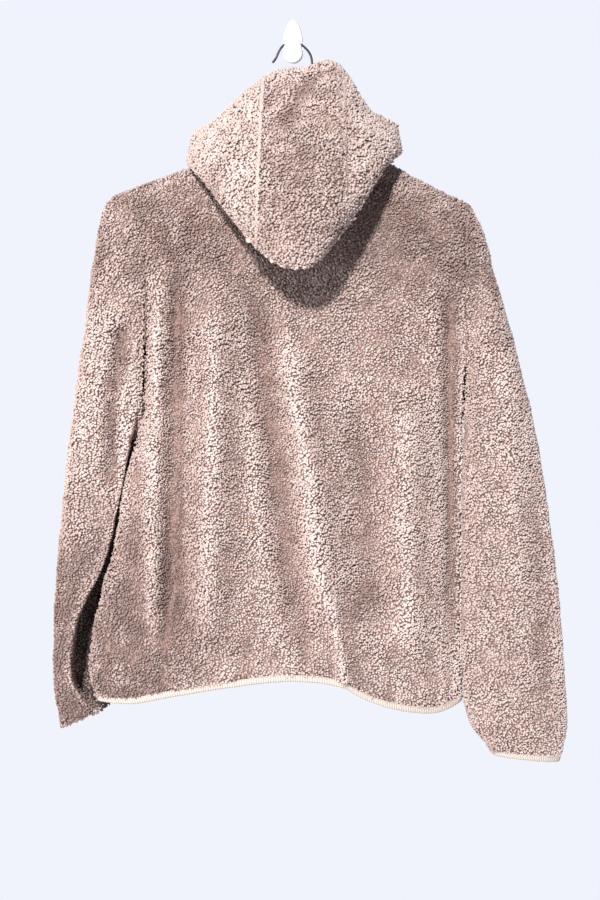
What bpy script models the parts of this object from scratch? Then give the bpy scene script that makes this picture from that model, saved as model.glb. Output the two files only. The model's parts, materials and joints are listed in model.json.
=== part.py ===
"""Hooded sherpa jacket, hung by a hanger on a wall hook with its back to the viewer.

Metres, +Z up. The wall is the plane y = 0 and everything lies at y < 0. The origin is the
centre of the hook's flat pad on the wall, and +Y points into the wall. The wearer's left is
at -X. Each cut piece of the jacket is one closed wall that follows the outer face of the
pile, and pieces stand SEAM_GAP apart where they are sewn.
"""
import math

import bmesh
import bpy
import numpy as np
from mathutils import Matrix, Vector
from mathutils.bvhtree import BVHTree

# ---------------------------------------------------------------- driving dimensions
CLOTH = 0.0030            # wall of knit backing and pile; its outer side is the tips of the pile
BINDING = 0.0020          # thickness of the elastic edge binding
BINDING_WIDTH = 0.0085    # how far the binding stands below the cloth's edge
SEAM_GAP = 0.0003
BINDING_GAP = 0.0008
PRESSED_REACH = 0.030     # the pile is pressed thin this far round each armpit
LEAST_INNER_SHARE = 0.25  # how small a cell of a wall's inner side may get in a tight bend
MITRE_STEPS = 40          # steps by which a corner's normal turns to face all pieces alike
MITRE_STEP = 0.05
THINNING = 0.8            # step by which the wall is thinned there
THINNING_STEPS = 8
LEAST_THICKNESS = 0.3     # of a wall's full thickness
ROOM_SHARE = 0.40         # share of the room between two layers that each wall may take
RAY_START = 0.0002
SEAM_Y = -0.046           # the shoulder seams lie over the hanger, this far from the wall

NECK_LEFT = 0.282         # highest points of the shoulders, as fractions of the width
NECK_RIGHT = 0.728
NAPE_DROP = 0.020         # how far the neckline dips below the shoulders' high points
THROAT_DROP = 0.072
NAPE_REACH = 0.040        # how far it stands towards the viewer and towards the wall
THROAT_REACH = 0.027
SHOULDER_ROLL = 0.10      # share of the length over which the cloth turns over the shoulder
ARMPIT = 0.432            # share of the length from shoulder tip to hem
ARMHOLE_NEAR = 0.026      # how far the armhole opens from its middle, to the viewer
ARMHOLE_FAR = 0.022       # and to the wall

ZIP_HALF_WIDTH = 0.028    # half the gap between the two fronts, as a share of the width
TEETH_HALF_WIDTH = 0.0065
TAPE = 0.0012
TEETH = 0.0024
TAPE_DEPTH = 0.0009       # the tape lies this far inside the pile's outer face
TEETH_DEPTH = 0.0003

HOOD_SEAM_LEFT = 0.39     # the hood's strip between its side panels, as shares of the neckline
HOOD_SEAM_RIGHT = 0.625
NECK_SIDE = 0.25          # shares of the neckline at the shoulders' high points

# ---------------------------------------------------------------- mesh density
SHOULDER_CELLS = 6
ARMHOLE_CELLS = 10
BODY_CELLS = 13
FRONT_NECK_CELLS = 5
HOOD_SIDE_CELLS = 3
HOOD_STRIP_CELLS = 5
HOOD_ROWS = 24
SLEEVE_ROWS = 17


def table(names, *rows):
    """A small table as a dictionary of named columns."""
    return dict(zip(names.split(), np.array(rows, float).T))


# Torso by height: its two side edges in x and y, where the near (back) and far (front) cloth
# lie in the middle, and how square each half of the cross-section is.
TORSO = table(
    "z       left    right   left_y  right_y near    far     square far_square",
    (-0.206, -0.2130, 0.2165, -0.047, -0.047, -0.080, -0.018, 1.10, 1.10),
    (-0.225, -0.2060, 0.2235, -0.047, -0.047, -0.082, -0.017, 1.10, 1.10),
    (-0.260, -0.1950, 0.2185, -0.048, -0.048, -0.086, -0.016, 1.15, 1.15),
    (-0.330, -0.1835, 0.2160, -0.049, -0.049, -0.090, -0.015, 1.20, 1.20),
    (-0.400, -0.1835, 0.2155, -0.050, -0.049, -0.091, -0.015, 1.30, 1.30),
    (-0.460, -0.1875, 0.2155, -0.050, -0.048, -0.091, -0.015, 1.60, 1.50),
    (-0.500, -0.1930, 0.2160, -0.051, -0.047, -0.091, -0.015, 2.00, 1.80),
    (-0.570, -0.2110, 0.2165, -0.054, -0.047, -0.091, -0.015, 2.20, 2.00),
    (-0.670, -0.2285, 0.2165, -0.060, -0.047, -0.093, -0.016, 2.20, 1.80),
    (-0.720, -0.2415, 0.2160, -0.067, -0.047, -0.095, -0.017, 2.20, 1.50),
    (-0.775, -0.2500, 0.2155, -0.075, -0.048, -0.098, -0.018, 2.20, 1.30),
    (-0.812, -0.2520, 0.2150, -0.079, -0.050, -0.101, -0.019, 2.20, 1.25),
    (-0.850, -0.2400, 0.2135, -0.080, -0.052, -0.099, -0.022, 2.10, 1.25),
    (-0.865, -0.2380, 0.2125, -0.080, -0.052, -0.098, -0.023, 2.10, 1.25),
)
SHOULDER_LINE = table("s z", (0, -0.206), (NECK_LEFT, -0.163), (NECK_RIGHT, -0.160), (1, -0.222))
HEM_LINE = table(
    "s      z",
    (0.00, -0.838),
    (0.08, -0.840),
    (0.20, -0.831),
    (0.37, -0.818),
    (0.55, -0.810),
    (0.66, -0.817),
    (0.74, -0.836),
    (0.84, -0.849),
    (0.93, -0.852),
    (1.00, -0.842),
)
# Folds as straight soft ridges (height > 0) and valleys (height < 0) of the near cloth,
# from one point of the back to another; reach is half their width.
BACK_FOLDS = table(
    "top_x   top_z   low_x   low_z   height  reach",
    (-0.172, -0.270, -0.170, -0.800, 0.0070, 0.016),
    (-0.092, -0.300, -0.106, -0.800, 0.0080, 0.020),
    (-0.010, -0.370, 0.048, -0.770, 0.0090, 0.022),
    (0.142, -0.430, 0.144, -0.800, 0.0070, 0.022),
    (-0.140, -0.270, -0.152, -0.790, -0.0080, 0.014),
    (-0.050, -0.300, 0.012, -0.800, -0.0090, 0.018),
    (0.082, -0.450, 0.094, -0.760, -0.0060, 0.022),
    (0.196, -0.280, 0.204, -0.800, -0.0090, 0.012),
    (0.046, -0.700, 0.066, -0.830, 0.0060, 0.009),
)
SLEEVE_FOLDS = table(
    "top_x   top_z   low_x   low_z   height  reach",
    (-0.208, -0.370, -0.224, -0.470, -0.0130, 0.010),
    (-0.224, -0.450, -0.228, -0.590, -0.0110, 0.010),
    (0.262, -0.380, 0.272, -0.640, 0.0060, 0.016),
    (0.300, -0.560, 0.312, -0.860, -0.0060, 0.016),
)
# Sleeves from the armhole to the cuff: the outer (upper arm) edge, the inner (under arm)
# edge, half the thickness towards the viewer and towards the wall, the share of the width
# at which the near cloth is tucked in behind the body, and how much it is tucked.
SLEEVE_NAMES = "w out_x out_y out_z in_x in_y in_z near far tuck tucked"
SLEEVE_LEFT = table(
    SLEEVE_NAMES,
    (0.00, -0.2130, -0.046, -0.2060, -0.1900, -0.051, -0.4870, 0.026, 0.020, 0.84, 0.00),
    (0.05, -0.2350, -0.047, -0.2190, -0.1955, -0.051, -0.4935, 0.030, 0.022, 0.84, 0.00),
    (0.13, -0.2480, -0.048, -0.2720, -0.1985, -0.049, -0.5040, 0.036, 0.025, 0.84, 0.00),
    (0.25, -0.2600, -0.050, -0.3560, -0.2005, -0.040, -0.5240, 0.038, 0.025, 0.82, 0.40),
    (0.38, -0.2720, -0.052, -0.4450, -0.2010, -0.029, -0.5600, 0.036, 0.022, 0.77, 1.00),
    (0.52, -0.2835, -0.055, -0.5450, -0.2090, -0.025, -0.6150, 0.034, 0.020, 0.72, 1.00),
    (0.66, -0.2920, -0.063, -0.6500, -0.2180, -0.026, -0.6850, 0.028, 0.019, 0.60, 1.00),
    (0.80, -0.2970, -0.069, -0.7560, -0.2240, -0.026, -0.7620, 0.022, 0.018, 0.22, 1.00),
    (0.92, -0.2960, -0.071, -0.8340, -0.2260, -0.024, -0.8200, 0.018, 0.015, 0.24, 0.90),
    (1.00, -0.2880, -0.069, -0.8700, -0.2320, -0.026, -0.8460, 0.013, 0.012, 0.50, 0.00),
)
SLEEVE_RIGHT = table(
    SLEEVE_NAMES,
    (0.00, 0.2235, -0.046, -0.2220, 0.2165, -0.047, -0.4990, 0.028, 0.022, 0.50, 0.00),
    (0.05, 0.2380, -0.048, -0.2480, 0.2205, -0.050, -0.5040, 0.032, 0.024, 0.50, 0.00),
    (0.13, 0.2480, -0.050, -0.2920, 0.2220, -0.054, -0.5140, 0.038, 0.029, 0.50, 0.00),
    (0.25, 0.2700, -0.054, -0.3760, 0.2205, -0.058, -0.5380, 0.040, 0.033, 0.50, 0.00),
    (0.38, 0.2950, -0.056, -0.4720, 0.2185, -0.060, -0.5800, 0.039, 0.034, 0.50, 0.00),
    (0.52, 0.3150, -0.057, -0.5760, 0.2178, -0.060, -0.6400, 0.037, 0.033, 0.50, 0.00),
    (0.66, 0.3300, -0.057, -0.6850, 0.2176, -0.060, -0.7150, 0.034, 0.030, 0.50, 0.00),
    (0.80, 0.3390, -0.056, -0.7900, 0.2170, -0.060, -0.7960, 0.029, 0.026, 0.50, 0.00),
    (0.93, 0.3440, -0.054, -0.8850, 0.2250, -0.057, -0.8760, 0.022, 0.020, 0.50, 0.00),
    (1.00, 0.3370, -0.053, -0.9190, 0.2480, -0.056, -0.9120, 0.015, 0.014, 0.50, 0.00),
)
TUCK_START = 0.50         # the fold's place round the near side, from outer to inner edge
TUCK_END = 0.67
TUCK_WIDTH = 0.07         # share of the sleeve's width over which the cloth turns in
TUCK_PUSH = 0.90          # of the way back to the inner edge's own depth
TUCK_FLATNESS = 0.70      # of the near thickness that the tucked cloth loses
ARMHOLE_BLEND = 0.34      # share of the sleeve over which it leaves the armhole's own curve
SLEEVE_SQUARE = 0.80      # below 1 gives the flattened tube fuller sides

# Hood, round the neckline from the zip's left edge (0) over the nape (0.5) to its right
# edge (1). Low: the layer lying on the shoulders and back, and the outer fold. Top: the top
# ridge and the front edge, how far the hood rises from the neckline before it turns over,
# and how far its outer face swells between fold and ridge.
HOOD_LOW = table(
    "u lay_x lay_y lay_z fold_x fold_y fold_z",
    (0.000, -0.0040, -0.0195, -0.2250, -0.0055, -0.0190, -0.2185),
    (0.070, -0.0335, -0.0230, -0.2105, -0.0360, -0.0215, -0.2010),
    (0.140, -0.0560, -0.0281, -0.1869, -0.0565, -0.0240, -0.1740),
    (0.195, -0.0853, -0.0313, -0.1694, -0.0875, -0.0244, -0.1513),
    (0.250, -0.1023, -0.0480, -0.1576, -0.1324, -0.0595, -0.1676),
    (0.310, -0.0880, -0.0820, -0.1760, -0.1080, -0.1120, -0.2140),
    (0.375, -0.0580, -0.1060, -0.2240, -0.0530, -0.1430, -0.2900),
    (0.500, 0.0110, -0.1130, -0.2460, 0.0115, -0.1580, -0.3300),
    (0.625, 0.0680, -0.1090, -0.2220, 0.0640, -0.1430, -0.2760),
    (0.695, 0.0980, -0.0820, -0.1700, 0.1130, -0.1100, -0.1960),
    (0.750, 0.1140, -0.0500, -0.1540, 0.1365, -0.0570, -0.1580),
    (0.805, 0.0870, -0.0330, -0.1680, 0.0940, -0.0260, -0.1520),
    (0.860, 0.0640, -0.0285, -0.1890, 0.0670, -0.0255, -0.1770),
    (0.930, 0.0445, -0.0230, -0.2100, 0.0460, -0.0215, -0.2010),
    (1.000, 0.0225, -0.0195, -0.2250, 0.0240, -0.0190, -0.2185),
)
HOOD_TOP = table(
    "u ridge_x ridge_y ridge_z brim_x brim_y brim_z rise swell",
    (0.000, -0.0065, -0.0185, -0.2120, -0.0080, -0.0180, -0.2060, 0.0010, 0.000),
    (0.070, -0.0380, -0.0210, -0.1920, -0.0400, -0.0205, -0.1830, 0.0020, 0.000),
    (0.140, -0.0620, -0.0235, -0.1680, -0.0620, -0.0220, -0.1570, 0.0039, 0.000),
    (0.195, -0.0880, -0.0240, -0.1400, -0.0810, -0.0250, -0.1330, 0.0043, 0.000),
    (0.250, -0.1260, -0.0590, -0.1370, -0.0850, -0.0360, -0.1220, 0.0107, 0.001),
    (0.310, -0.0960, -0.0720, -0.1180, -0.0640, -0.0360, -0.1080, 0.0170, 0.020),
    (0.375, -0.0460, -0.0640, -0.0670, -0.0340, -0.0360, -0.0980, 0.0170, 0.036),
    (0.500, 0.0130, -0.0600, -0.0450, 0.0140, -0.0360, -0.0860, 0.0170, 0.044),
    (0.625, 0.0640, -0.0620, -0.0490, 0.0530, -0.0360, -0.0920, 0.0170, 0.036),
    (0.695, 0.0980, -0.0720, -0.1100, 0.0740, -0.0365, -0.1060, 0.0170, 0.020),
    (0.750, 0.1310, -0.0590, -0.1250, 0.0920, -0.0360, -0.1200, 0.0080, 0.001),
    (0.805, 0.0950, -0.0240, -0.1390, 0.0890, -0.0250, -0.1310, 0.0050, 0.000),
    (0.860, 0.0690, -0.0235, -0.1660, 0.0700, -0.0220, -0.1560, 0.0030, 0.000),
    (0.930, 0.0475, -0.0210, -0.1920, 0.0500, -0.0205, -0.1830, 0.0020, 0.000),
    (1.000, 0.0250, -0.0185, -0.2120, 0.0260, -0.0180, -0.2060, 0.0010, 0.000),
)

# Hanger: a bar of oval section and a steel wire hook.
BAR_HALF_HEIGHT = 0.0058
BAR_HALF_DEPTH = 0.0040
HANGER_BAR = table(
    "x       y      z",
    (-0.186, -0.0475, -0.2145),
    (-0.150, -0.0475, -0.2000),
    (-0.092, -0.0490, -0.1815),
    (-0.064, -0.0495, -0.1715),
    (-0.036, -0.0490, -0.1585),
    (-0.010, -0.0475, -0.1465),
    (0.012, -0.0470, -0.1415),
    (0.034, -0.0475, -0.1465),
    (0.058, -0.0490, -0.1585),
    (0.082, -0.0495, -0.1730),
    (0.106, -0.0490, -0.1820),
    (0.150, -0.0475, -0.2010),
    (0.194, -0.0475, -0.2245),
)
WIRE_RADIUS = 0.0015
HOOK_WIRE = table(
    "x        y       z",
    (-0.0262, -0.0180, -0.0352),
    (-0.0218, -0.0180, -0.0295),
    (-0.0193, -0.0180, -0.0238),
    (-0.0154, -0.0180, -0.0164),
    (-0.0090, -0.0180, -0.0110),
    (0.0012, -0.0180, -0.0093),
    (0.0098, -0.0180, -0.0118),
    (0.0166, -0.0180, -0.0170),
    (0.0220, -0.0182, -0.0240),
    (0.0246, -0.0186, -0.0340),
    (0.0230, -0.0192, -0.0450),
    (0.0170, -0.0200, -0.0570),
    (0.0116, -0.0212, -0.0700),
    (0.0104, -0.0225, -0.0880),
    (0.0112, -0.0300, -0.1060),
    (0.0120, -0.0420, -0.1220),
    (0.0120, -0.0470, -0.1347),
)

# Wall hook: an egg-shaped base flat on the wall, an arm and a drop-shaped lip.
HOOK_TOP = 0.0255
HOOK_BOTTOM = -0.0255
HOOK_HALF_WIDTH = 0.0132
HOOK_BASE_DEPTH = 0.0062
ARM_TOP = -0.0119
ARM_HALF_WIDTH = 0.0052
ARM_HEIGHT = 0.0150
LIP_NEAR = -0.0350
LIP_FAR = -0.0245
LIP_TOP = -0.0040
LIP_BOTTOM = -0.0405
LIP_HALF_WIDTH = 0.0128

# Zip slider and its hanging pull tab.
SLIDER_WIDTH = 0.0085
SLIDER_LENGTH = 0.0115
SLIDER_DEPTH = 0.0022
SLIDER_DROP = 0.012       # below the throat
SLIDER_CLEARANCE = 0.0011 # from the teeth to the slider's body
SLIDER_EDGE = 0.0006      # rounding of the slider's edges
BRIDGE_WIDTH = 0.0020
BRIDGE_REACH = 0.0038
BRIDGE_LENGTH = 0.0066
BRIDGE_HALF = 0.0006      # half the bridge's thickness at its top
BRIDGE_FOOT = 0.0011      # its thickness where it meets the slider
TAB_WIDTH = 0.0068
TAB_LENGTH = 0.0280
TAB_THICKNESS = 0.0012
TAB_AXIS = 0.0013         # from the slider's top to the middle of the tab
TAB_SLOT_WIDTH = 0.0032
TAB_SLOT_LENGTH = 0.0058

MATERIALS = {
    "pile": ((0.62, 0.50, 0.45), 0.95, 0.0),
    "binding": ((0.72, 0.64, 0.55), 0.85, 0.0),
    "tape": ((0.45, 0.36, 0.32), 0.85, 0.0),
    "metal": ((0.62, 0.62, 0.63), 0.30, 1.0),
    "wood": ((0.60, 0.42, 0.26), 0.55, 0.0),
    "plastic": ((0.86, 0.87, 0.92), 0.25, 0.0),
}


# ---------------------------------------------------------------- curves and surfaces
def curve(keys, values, at):
    """Smooth curve through a table's points, with slopes taken from the neighbours."""
    at = np.clip(np.asarray(at, float), keys[0], keys[-1])
    slopes = np.gradient(values, keys)
    i = np.clip(np.searchsorted(keys, at, side="right") - 1, 0, len(keys) - 2)
    step = keys[i + 1] - keys[i]
    f = (at - keys[i]) / step
    start = (1 + 2 * f) * (1 - f) ** 2 * values[i] + f * (1 - f) ** 2 * step * slopes[i]
    end = f * f * (3 - 2 * f) * values[i + 1] + f * f * (f - 1) * step * slopes[i + 1]
    return start + end


def along(rows, key, name, at):
    """Column `name` of a table, read smoothly at values of its column `key`."""
    order = np.argsort(rows[key])
    return curve(rows[key][order], rows[name][order], at)


def vector_along(rows, key, names, at):
    """Three columns of a table as points."""
    return np.stack([along(rows, key, name, at) for name in names.split()], axis=-1)


def smooth_step(value):
    value = np.clip(value, 0.0, 1.0)
    return value * value * (3 - 2 * value)


def folds(rows, x, z):
    """Height of all ridges and valleys of a fold table at points of the near cloth."""
    total = np.zeros(np.broadcast(x, z).shape)
    for i in range(len(rows["height"])):
        top_x, top_z = rows["top_x"][i], rows["top_z"][i]
        low_x, low_z = rows["low_x"][i], rows["low_z"][i]
        share = (z - top_z) / (low_z - top_z)
        offset = (x - top_x - (low_x - top_x) * share) / rows["reach"][i]
        ends = smooth_step(share / 0.25) * smooth_step((1 - share) / 0.18)
        total = total + rows["height"][i] * ends * np.exp(-offset * offset)
    return total


def neck_arch(s):
    """0 at the shoulders' high points and outside them, 1 in the middle of the neck."""
    q = np.clip((s - NECK_LEFT) / (NECK_RIGHT - NECK_LEFT), 0.0, 1.0)
    return 1 - np.abs(2 * q - 1) ** 1.7


def torso(face, s, t):
    """Outer side of the back or front cloth; s runs left to right, t from top to hem."""
    s, t = np.broadcast_arrays(np.asarray(s, float), np.asarray(t, float))
    is_back = face == "back"
    arch = neck_arch(s)
    drop = NAPE_DROP if is_back else THROAT_DROP
    top_z = np.interp(s, SHOULDER_LINE["s"], SHOULDER_LINE["z"]) - drop * arch
    top_y = SEAM_Y + (-NAPE_REACH if is_back else THROAT_REACH) * arch
    hem_z = curve(HEM_LINE["s"], HEM_LINE["z"], s)
    z = top_z + (hem_z - top_z) * t
    left = along(TORSO, "z", "left", z)
    right = along(TORSO, "z", "right", z)
    x = left + (right - left) * s
    opening = np.sqrt(np.sin(math.pi * np.clip(t / ARMPIT, 0, 1)).clip(0))
    opening = opening * (-ARMHOLE_NEAR if is_back else ARMHOLE_FAR)
    edge = along(TORSO, "z", "left_y", z) * (1 - s) + along(TORSO, "z", "right_y", z) * s + opening
    middle = along(TORSO, "z", "near" if is_back else "far", z)
    square = along(TORSO, "z", "square" if is_back else "far_square", z)
    bulge = np.clip(1 - np.abs(2 * s - 1) ** 2.6, 0, 1) ** (1 / square)
    y = edge + (middle - edge) * bulge
    if is_back:
        y = y - folds(BACK_FOLDS, x, z) * np.clip(bulge * 2, 0, 1)
    turn = np.clip(1 - t / SHOULDER_ROLL, 0, 1) ** 2.2
    y = top_y + (y - top_y) * (1 - turn) ** (1 / 2.2)
    return np.stack([x, y, z], axis=-1)


def armhole(side, a):
    """Armhole seam as a closed loop: a = 0 at the shoulder tip, 0.5 at the armpit."""
    a = np.asarray(a, float)
    s = np.full(a.shape, 0.0 if side == "left" else 1.0)
    t = ARMPIT * (1 - np.cos(2 * math.pi * a)) / 2
    return np.where((a <= 0.5)[..., None], torso("back", s, t), torso("front", s, t))


def angle_at(share):
    """Angle round the flattened tube at a share of its width."""
    return np.arccos(1 - 2 * share)


def sleeve_ring(rows, a, w):
    """Flattened tube between the sleeve's outer and inner edge, before it meets the armhole."""
    outer = vector_along(rows, "w", "out_x out_y out_z", w)
    inner = vector_along(rows, "w", "in_x in_y in_z", w)
    across = inner - outer
    length = np.hypot(across[..., 0], across[..., 1])
    sign = np.sign(across[..., 0])
    near_way = np.stack([across[..., 1], -across[..., 0], 0 * length], -1) * (sign / length)[..., None]
    tuck, tucked = along(rows, "w", "tuck", w), along(rows, "w", "tucked", w)
    fold, end = angle_at(tuck), angle_at(tuck + TUCK_WIDTH)
    q = 2 * a
    to_fold = fold * q / TUCK_START
    in_fold = fold + (end - fold) * (q - TUCK_START) / (TUCK_END - TUCK_START)
    past_fold = end + (math.pi - end) * (q - TUCK_END) / (1 - TUCK_END)
    warped = np.where(q < TUCK_START, to_fold, np.where(q < TUCK_END, in_fold, past_fold))
    angle = math.pi * q
    angle = np.where(q < 1, angle + (warped - angle) * np.clip(2 * tucked, 0, 1), angle)
    share = (1 - np.cos(angle)) / 2
    lift = np.sign(np.sin(angle)) * np.abs(np.sin(angle)) ** SLEEVE_SQUARE
    turned_in = tucked * smooth_step((share - tuck) / TUCK_WIDTH)
    near = along(rows, "w", "near", w) * (1 - TUCK_FLATNESS * turned_in)
    depth = np.where(q < 1, near, along(rows, "w", "far", w)) * lift
    point = outer + across * share[..., None] + near_way * depth[..., None]
    point[..., 1] += TUCK_PUSH * turned_in * across[..., 1] * (1 - share)
    return point


def sleeve(side, a, w):
    """Outer side of a sleeve: a goes round it, w from the armhole to the cuff."""
    a, w = np.broadcast_arrays(np.asarray(a, float), np.asarray(w, float))
    rows = SLEEVE_LEFT if side == "left" else SLEEVE_RIGHT
    point = sleeve_ring(rows, a, w)
    at_armhole = armhole(side, a) - sleeve_ring(rows, a, 0 * w)
    point = point + at_armhole * (1 - smooth_step(w / ARMHOLE_BLEND))[..., None]
    near = np.clip(np.sin(2 * math.pi * a) * 1.6, 0, 1)
    point[..., 1] -= folds(SLEEVE_FOLDS, point[..., 0], point[..., 2]) * near
    return point


def neck_s(u):
    """Share of the width at a share of the neckline."""
    u = np.asarray(u, float)
    front = 1 - np.clip(np.minimum(u, 1 - u) / NECK_SIDE, 0, 1)
    left = NECK_LEFT + (0.5 - ZIP_HALF_WIDTH - NECK_LEFT) * front
    right = NECK_RIGHT + (0.5 + ZIP_HALF_WIDTH - NECK_RIGHT) * front
    back = NECK_LEFT + (NECK_RIGHT - NECK_LEFT) * (u - NECK_SIDE) / (1 - 2 * NECK_SIDE)
    return np.where(u < NECK_SIDE, left, np.where(u > 1 - NECK_SIDE, right, back))


def neckline(u):
    """Seam between the hood and the body, from the zip's left edge round to its right."""
    u = np.asarray(u, float)
    s = neck_s(u)
    on_back = (u >= NECK_SIDE) & (u <= 1 - NECK_SIDE)
    return np.where(on_back[..., None], torso("back", s, 0 * s), torso("front", s, 0 * s))


def rounded(points, share):
    """Curve that starts and ends on a row of points and rounds every corner between them."""
    corners = len(points) - 2
    i = np.clip(np.floor(share * corners).astype(int), 0, corners - 1)
    f = (share * corners - i)[..., None]

    def pick(index):
        return np.take_along_axis(points, index[None, ..., None], axis=0)[0]

    first = (i == 0)[..., None]
    last = (i == corners - 1)[..., None]
    start = np.where(first, pick(i), (pick(i) + pick(i + 1)) / 2)
    end = np.where(last, pick(i + 2), (pick(i + 1) + pick(i + 2)) / 2)
    return start * (1 - f) ** 2 + pick(i + 1) * 2 * f * (1 - f) + end * f * f


def hood(u, v):
    """Outer side of the hood: u round the neckline, v from the neckline to the front edge."""
    u, v = np.broadcast_arrays(np.asarray(u, float), np.asarray(v, float))
    neck = neckline(u)
    lay = vector_along(HOOD_LOW, "u", "lay_x lay_y lay_z", u)
    fold = vector_along(HOOD_LOW, "u", "fold_x fold_y fold_z", u)
    ridge = vector_along(HOOD_TOP, "u", "ridge_x ridge_y ridge_z", u)
    brim = vector_along(HOOD_TOP, "u", "brim_x brim_y brim_z", u)
    rise = along(HOOD_TOP, "u", "rise", u)[..., None] * np.array([0.0, 0.0, 1.0])
    swell = along(HOOD_TOP, "u", "swell", u)[..., None] * np.array([0.0, -1.0, 0.0])
    corners = [
        neck,
        neck + 0.90 * rise,
        neck + 1.05 * rise + 0.28 * (lay - neck),
        lay,
        lay + 0.62 * (fold - lay) + 0.10 * swell,
        fold,
        fold + 0.15 * (ridge - fold) + 0.85 * swell,
        fold + 0.45 * (ridge - fold) + 1.05 * swell,
        fold + 0.78 * (ridge - fold) + 0.60 * swell,
        ridge,
        ridge + 0.45 * (brim - ridge),
        brim,
    ]
    return rounded(np.stack(corners), v)


# ---------------------------------------------------------------- walls
def cell_normals(points, tube):
    """Normal of every cell of a grid, as long as its area; a tube's last column meets its first."""
    right = np.roll(points, -1, axis=1) if tube else points[:, 1:]
    base = points if tube else points[:, :-1]
    return np.cross(base[1:] - right[:-1], right[1:] - base[:-1]) / 2


class Sheet:
    """One cut piece: a grid of points on its outer side, rows by columns."""

    def __init__(self, name, points, material, thickness=CLOTH, depth=0.0, tube=False,
                 open_edges="", gap=SEAM_GAP):
        self.name = name
        self.points = points
        self.material = material
        self.thickness = thickness
        self.depth = depth
        self.tube = tube
        self.open_edges = open_edges
        self.gap = gap
        self.normals = None
        self.share = 1.0

    def face_normals(self):
        """Area-weighted normal sums at the points; a tube's columns wrap round."""
        normal = cell_normals(self.points, self.tube)
        total = np.zeros(self.points.shape)
        if self.tube:
            total[:-1] += normal
            total[1:] += normal
            total[:-1] += np.roll(normal, 1, axis=1)
            total[1:] += np.roll(normal, 1, axis=1)
        else:
            total[:-1, :-1] += normal
            total[1:, :-1] += normal
            total[:-1, 1:] += normal
            total[1:, 1:] += normal
        return total


def point_keys(sheet):
    """Rounded positions of a sheet's points, the same for every sheet that shares a point."""
    return [tuple(key) for key in np.round(sheet.points.reshape(-1, 3) * 1e5).astype(int)]


def share_normals(sheets):
    """Give points where sheets meet one common normal, so their walls end on one mitre."""
    found = {}
    for sheet in sheets:
        normals = sheet.face_normals().reshape(-1, 3)
        normals = normals / np.linalg.norm(normals, axis=-1, keepdims=True)
        for key, normal in zip(point_keys(sheet), normals):
            found.setdefault(key, []).append(normal)
    common = {}
    for key, normals in found.items():
        normals = np.array(normals)
        mean = normals.sum(axis=0)
        mean = mean / np.linalg.norm(mean)
        for _ in range(MITRE_STEPS if len(normals) > 1 else 0):
            mean = mean + MITRE_STEP * normals[np.argmin(normals @ mean)]
            mean = mean / np.linalg.norm(mean)
        common[key] = mean
    for sheet in sheets:
        sheet.normals = np.array([common[key] for key in point_keys(sheet)]).reshape(sheet.points.shape)


def room_inside(sheets):
    """Free distance from every point, inwards, to the next layer of cloth."""
    points = []
    triangles = []
    for sheet in sheets:
        rows, columns = sheet.points.shape[:2]
        first = len(points)
        points.extend(Vector(point) for point in sheet.points.reshape(-1, 3))
        for i in range(rows - 1):
            for j in range(columns if sheet.tube else columns - 1):
                k = (j + 1) % columns
                a, b = first + i * columns + j, first + i * columns + k
                triangles.append((a, b, b + columns))
                triangles.append((a, b + columns, a + columns))
    tree = BVHTree.FromPolygons(points, triangles, all_triangles=True)
    room = {}
    for sheet in sheets:
        normals = sheet.normals.reshape(-1, 3)
        for key, point, normal in zip(point_keys(sheet), sheet.points.reshape(-1, 3), normals):
            inwards = Vector(-normal)
            distance = tree.ray_cast(Vector(point) + inwards * RAY_START, inwards, 4 * CLOTH)[3]
            if distance is not None:
                room[key] = min(room.get(key, 1.0), distance + RAY_START)
    return room


def fit_thickness(sheets):
    """Thin the walls where cloth is pressed against cloth or bends over tightly."""
    room = room_inside([sheet for sheet in sheets if sheet.thickness == CLOTH])
    share = {}
    for key, distance in room.items():
        share[key] = float(np.clip(ROOM_SHARE * distance / CLOTH, LEAST_THICKNESS, 1.0))
    for armpit in (torso("back", 0.0, ARMPIT), torso("back", 1.0, ARMPIT)):
        for sheet in sheets:
            away = np.linalg.norm(sheet.points - armpit, axis=-1).reshape(-1)
            for key, distance in zip(point_keys(sheet), away):
                share[key] = min(share.get(key, 1.0), max(distance / PRESSED_REACH, LEAST_THICKNESS))
    for _ in range(THINNING_STEPS):
        for sheet in sheets:
            rows, columns = sheet.points.shape[:2]
            keys = point_keys(sheet)
            factor = np.array([share.get(key, 1.0) for key in keys]).reshape(rows, columns, 1)
            inner = sheet.points - sheet.normals * sheet.thickness * factor
            outer_cells = cell_normals(sheet.points, sheet.tube)
            turned = np.sum(cell_normals(inner, sheet.tube) * outer_cells, axis=-1)
            for i, j in np.argwhere(turned < LEAST_INNER_SHARE * np.sum(outer_cells ** 2, axis=-1)):
                for k in (i, i + 1):
                    for m in (j, (j + 1) % columns):
                        key = keys[k * columns + m]
                        share[key] = max(share.get(key, 1.0) * THINNING, LEAST_THICKNESS)
    for sheet in sheets:
        factor = np.array([share.get(key, 1.0) for key in point_keys(sheet)])
        sheet.share = factor.reshape(*sheet.points.shape[:2], 1)


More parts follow.
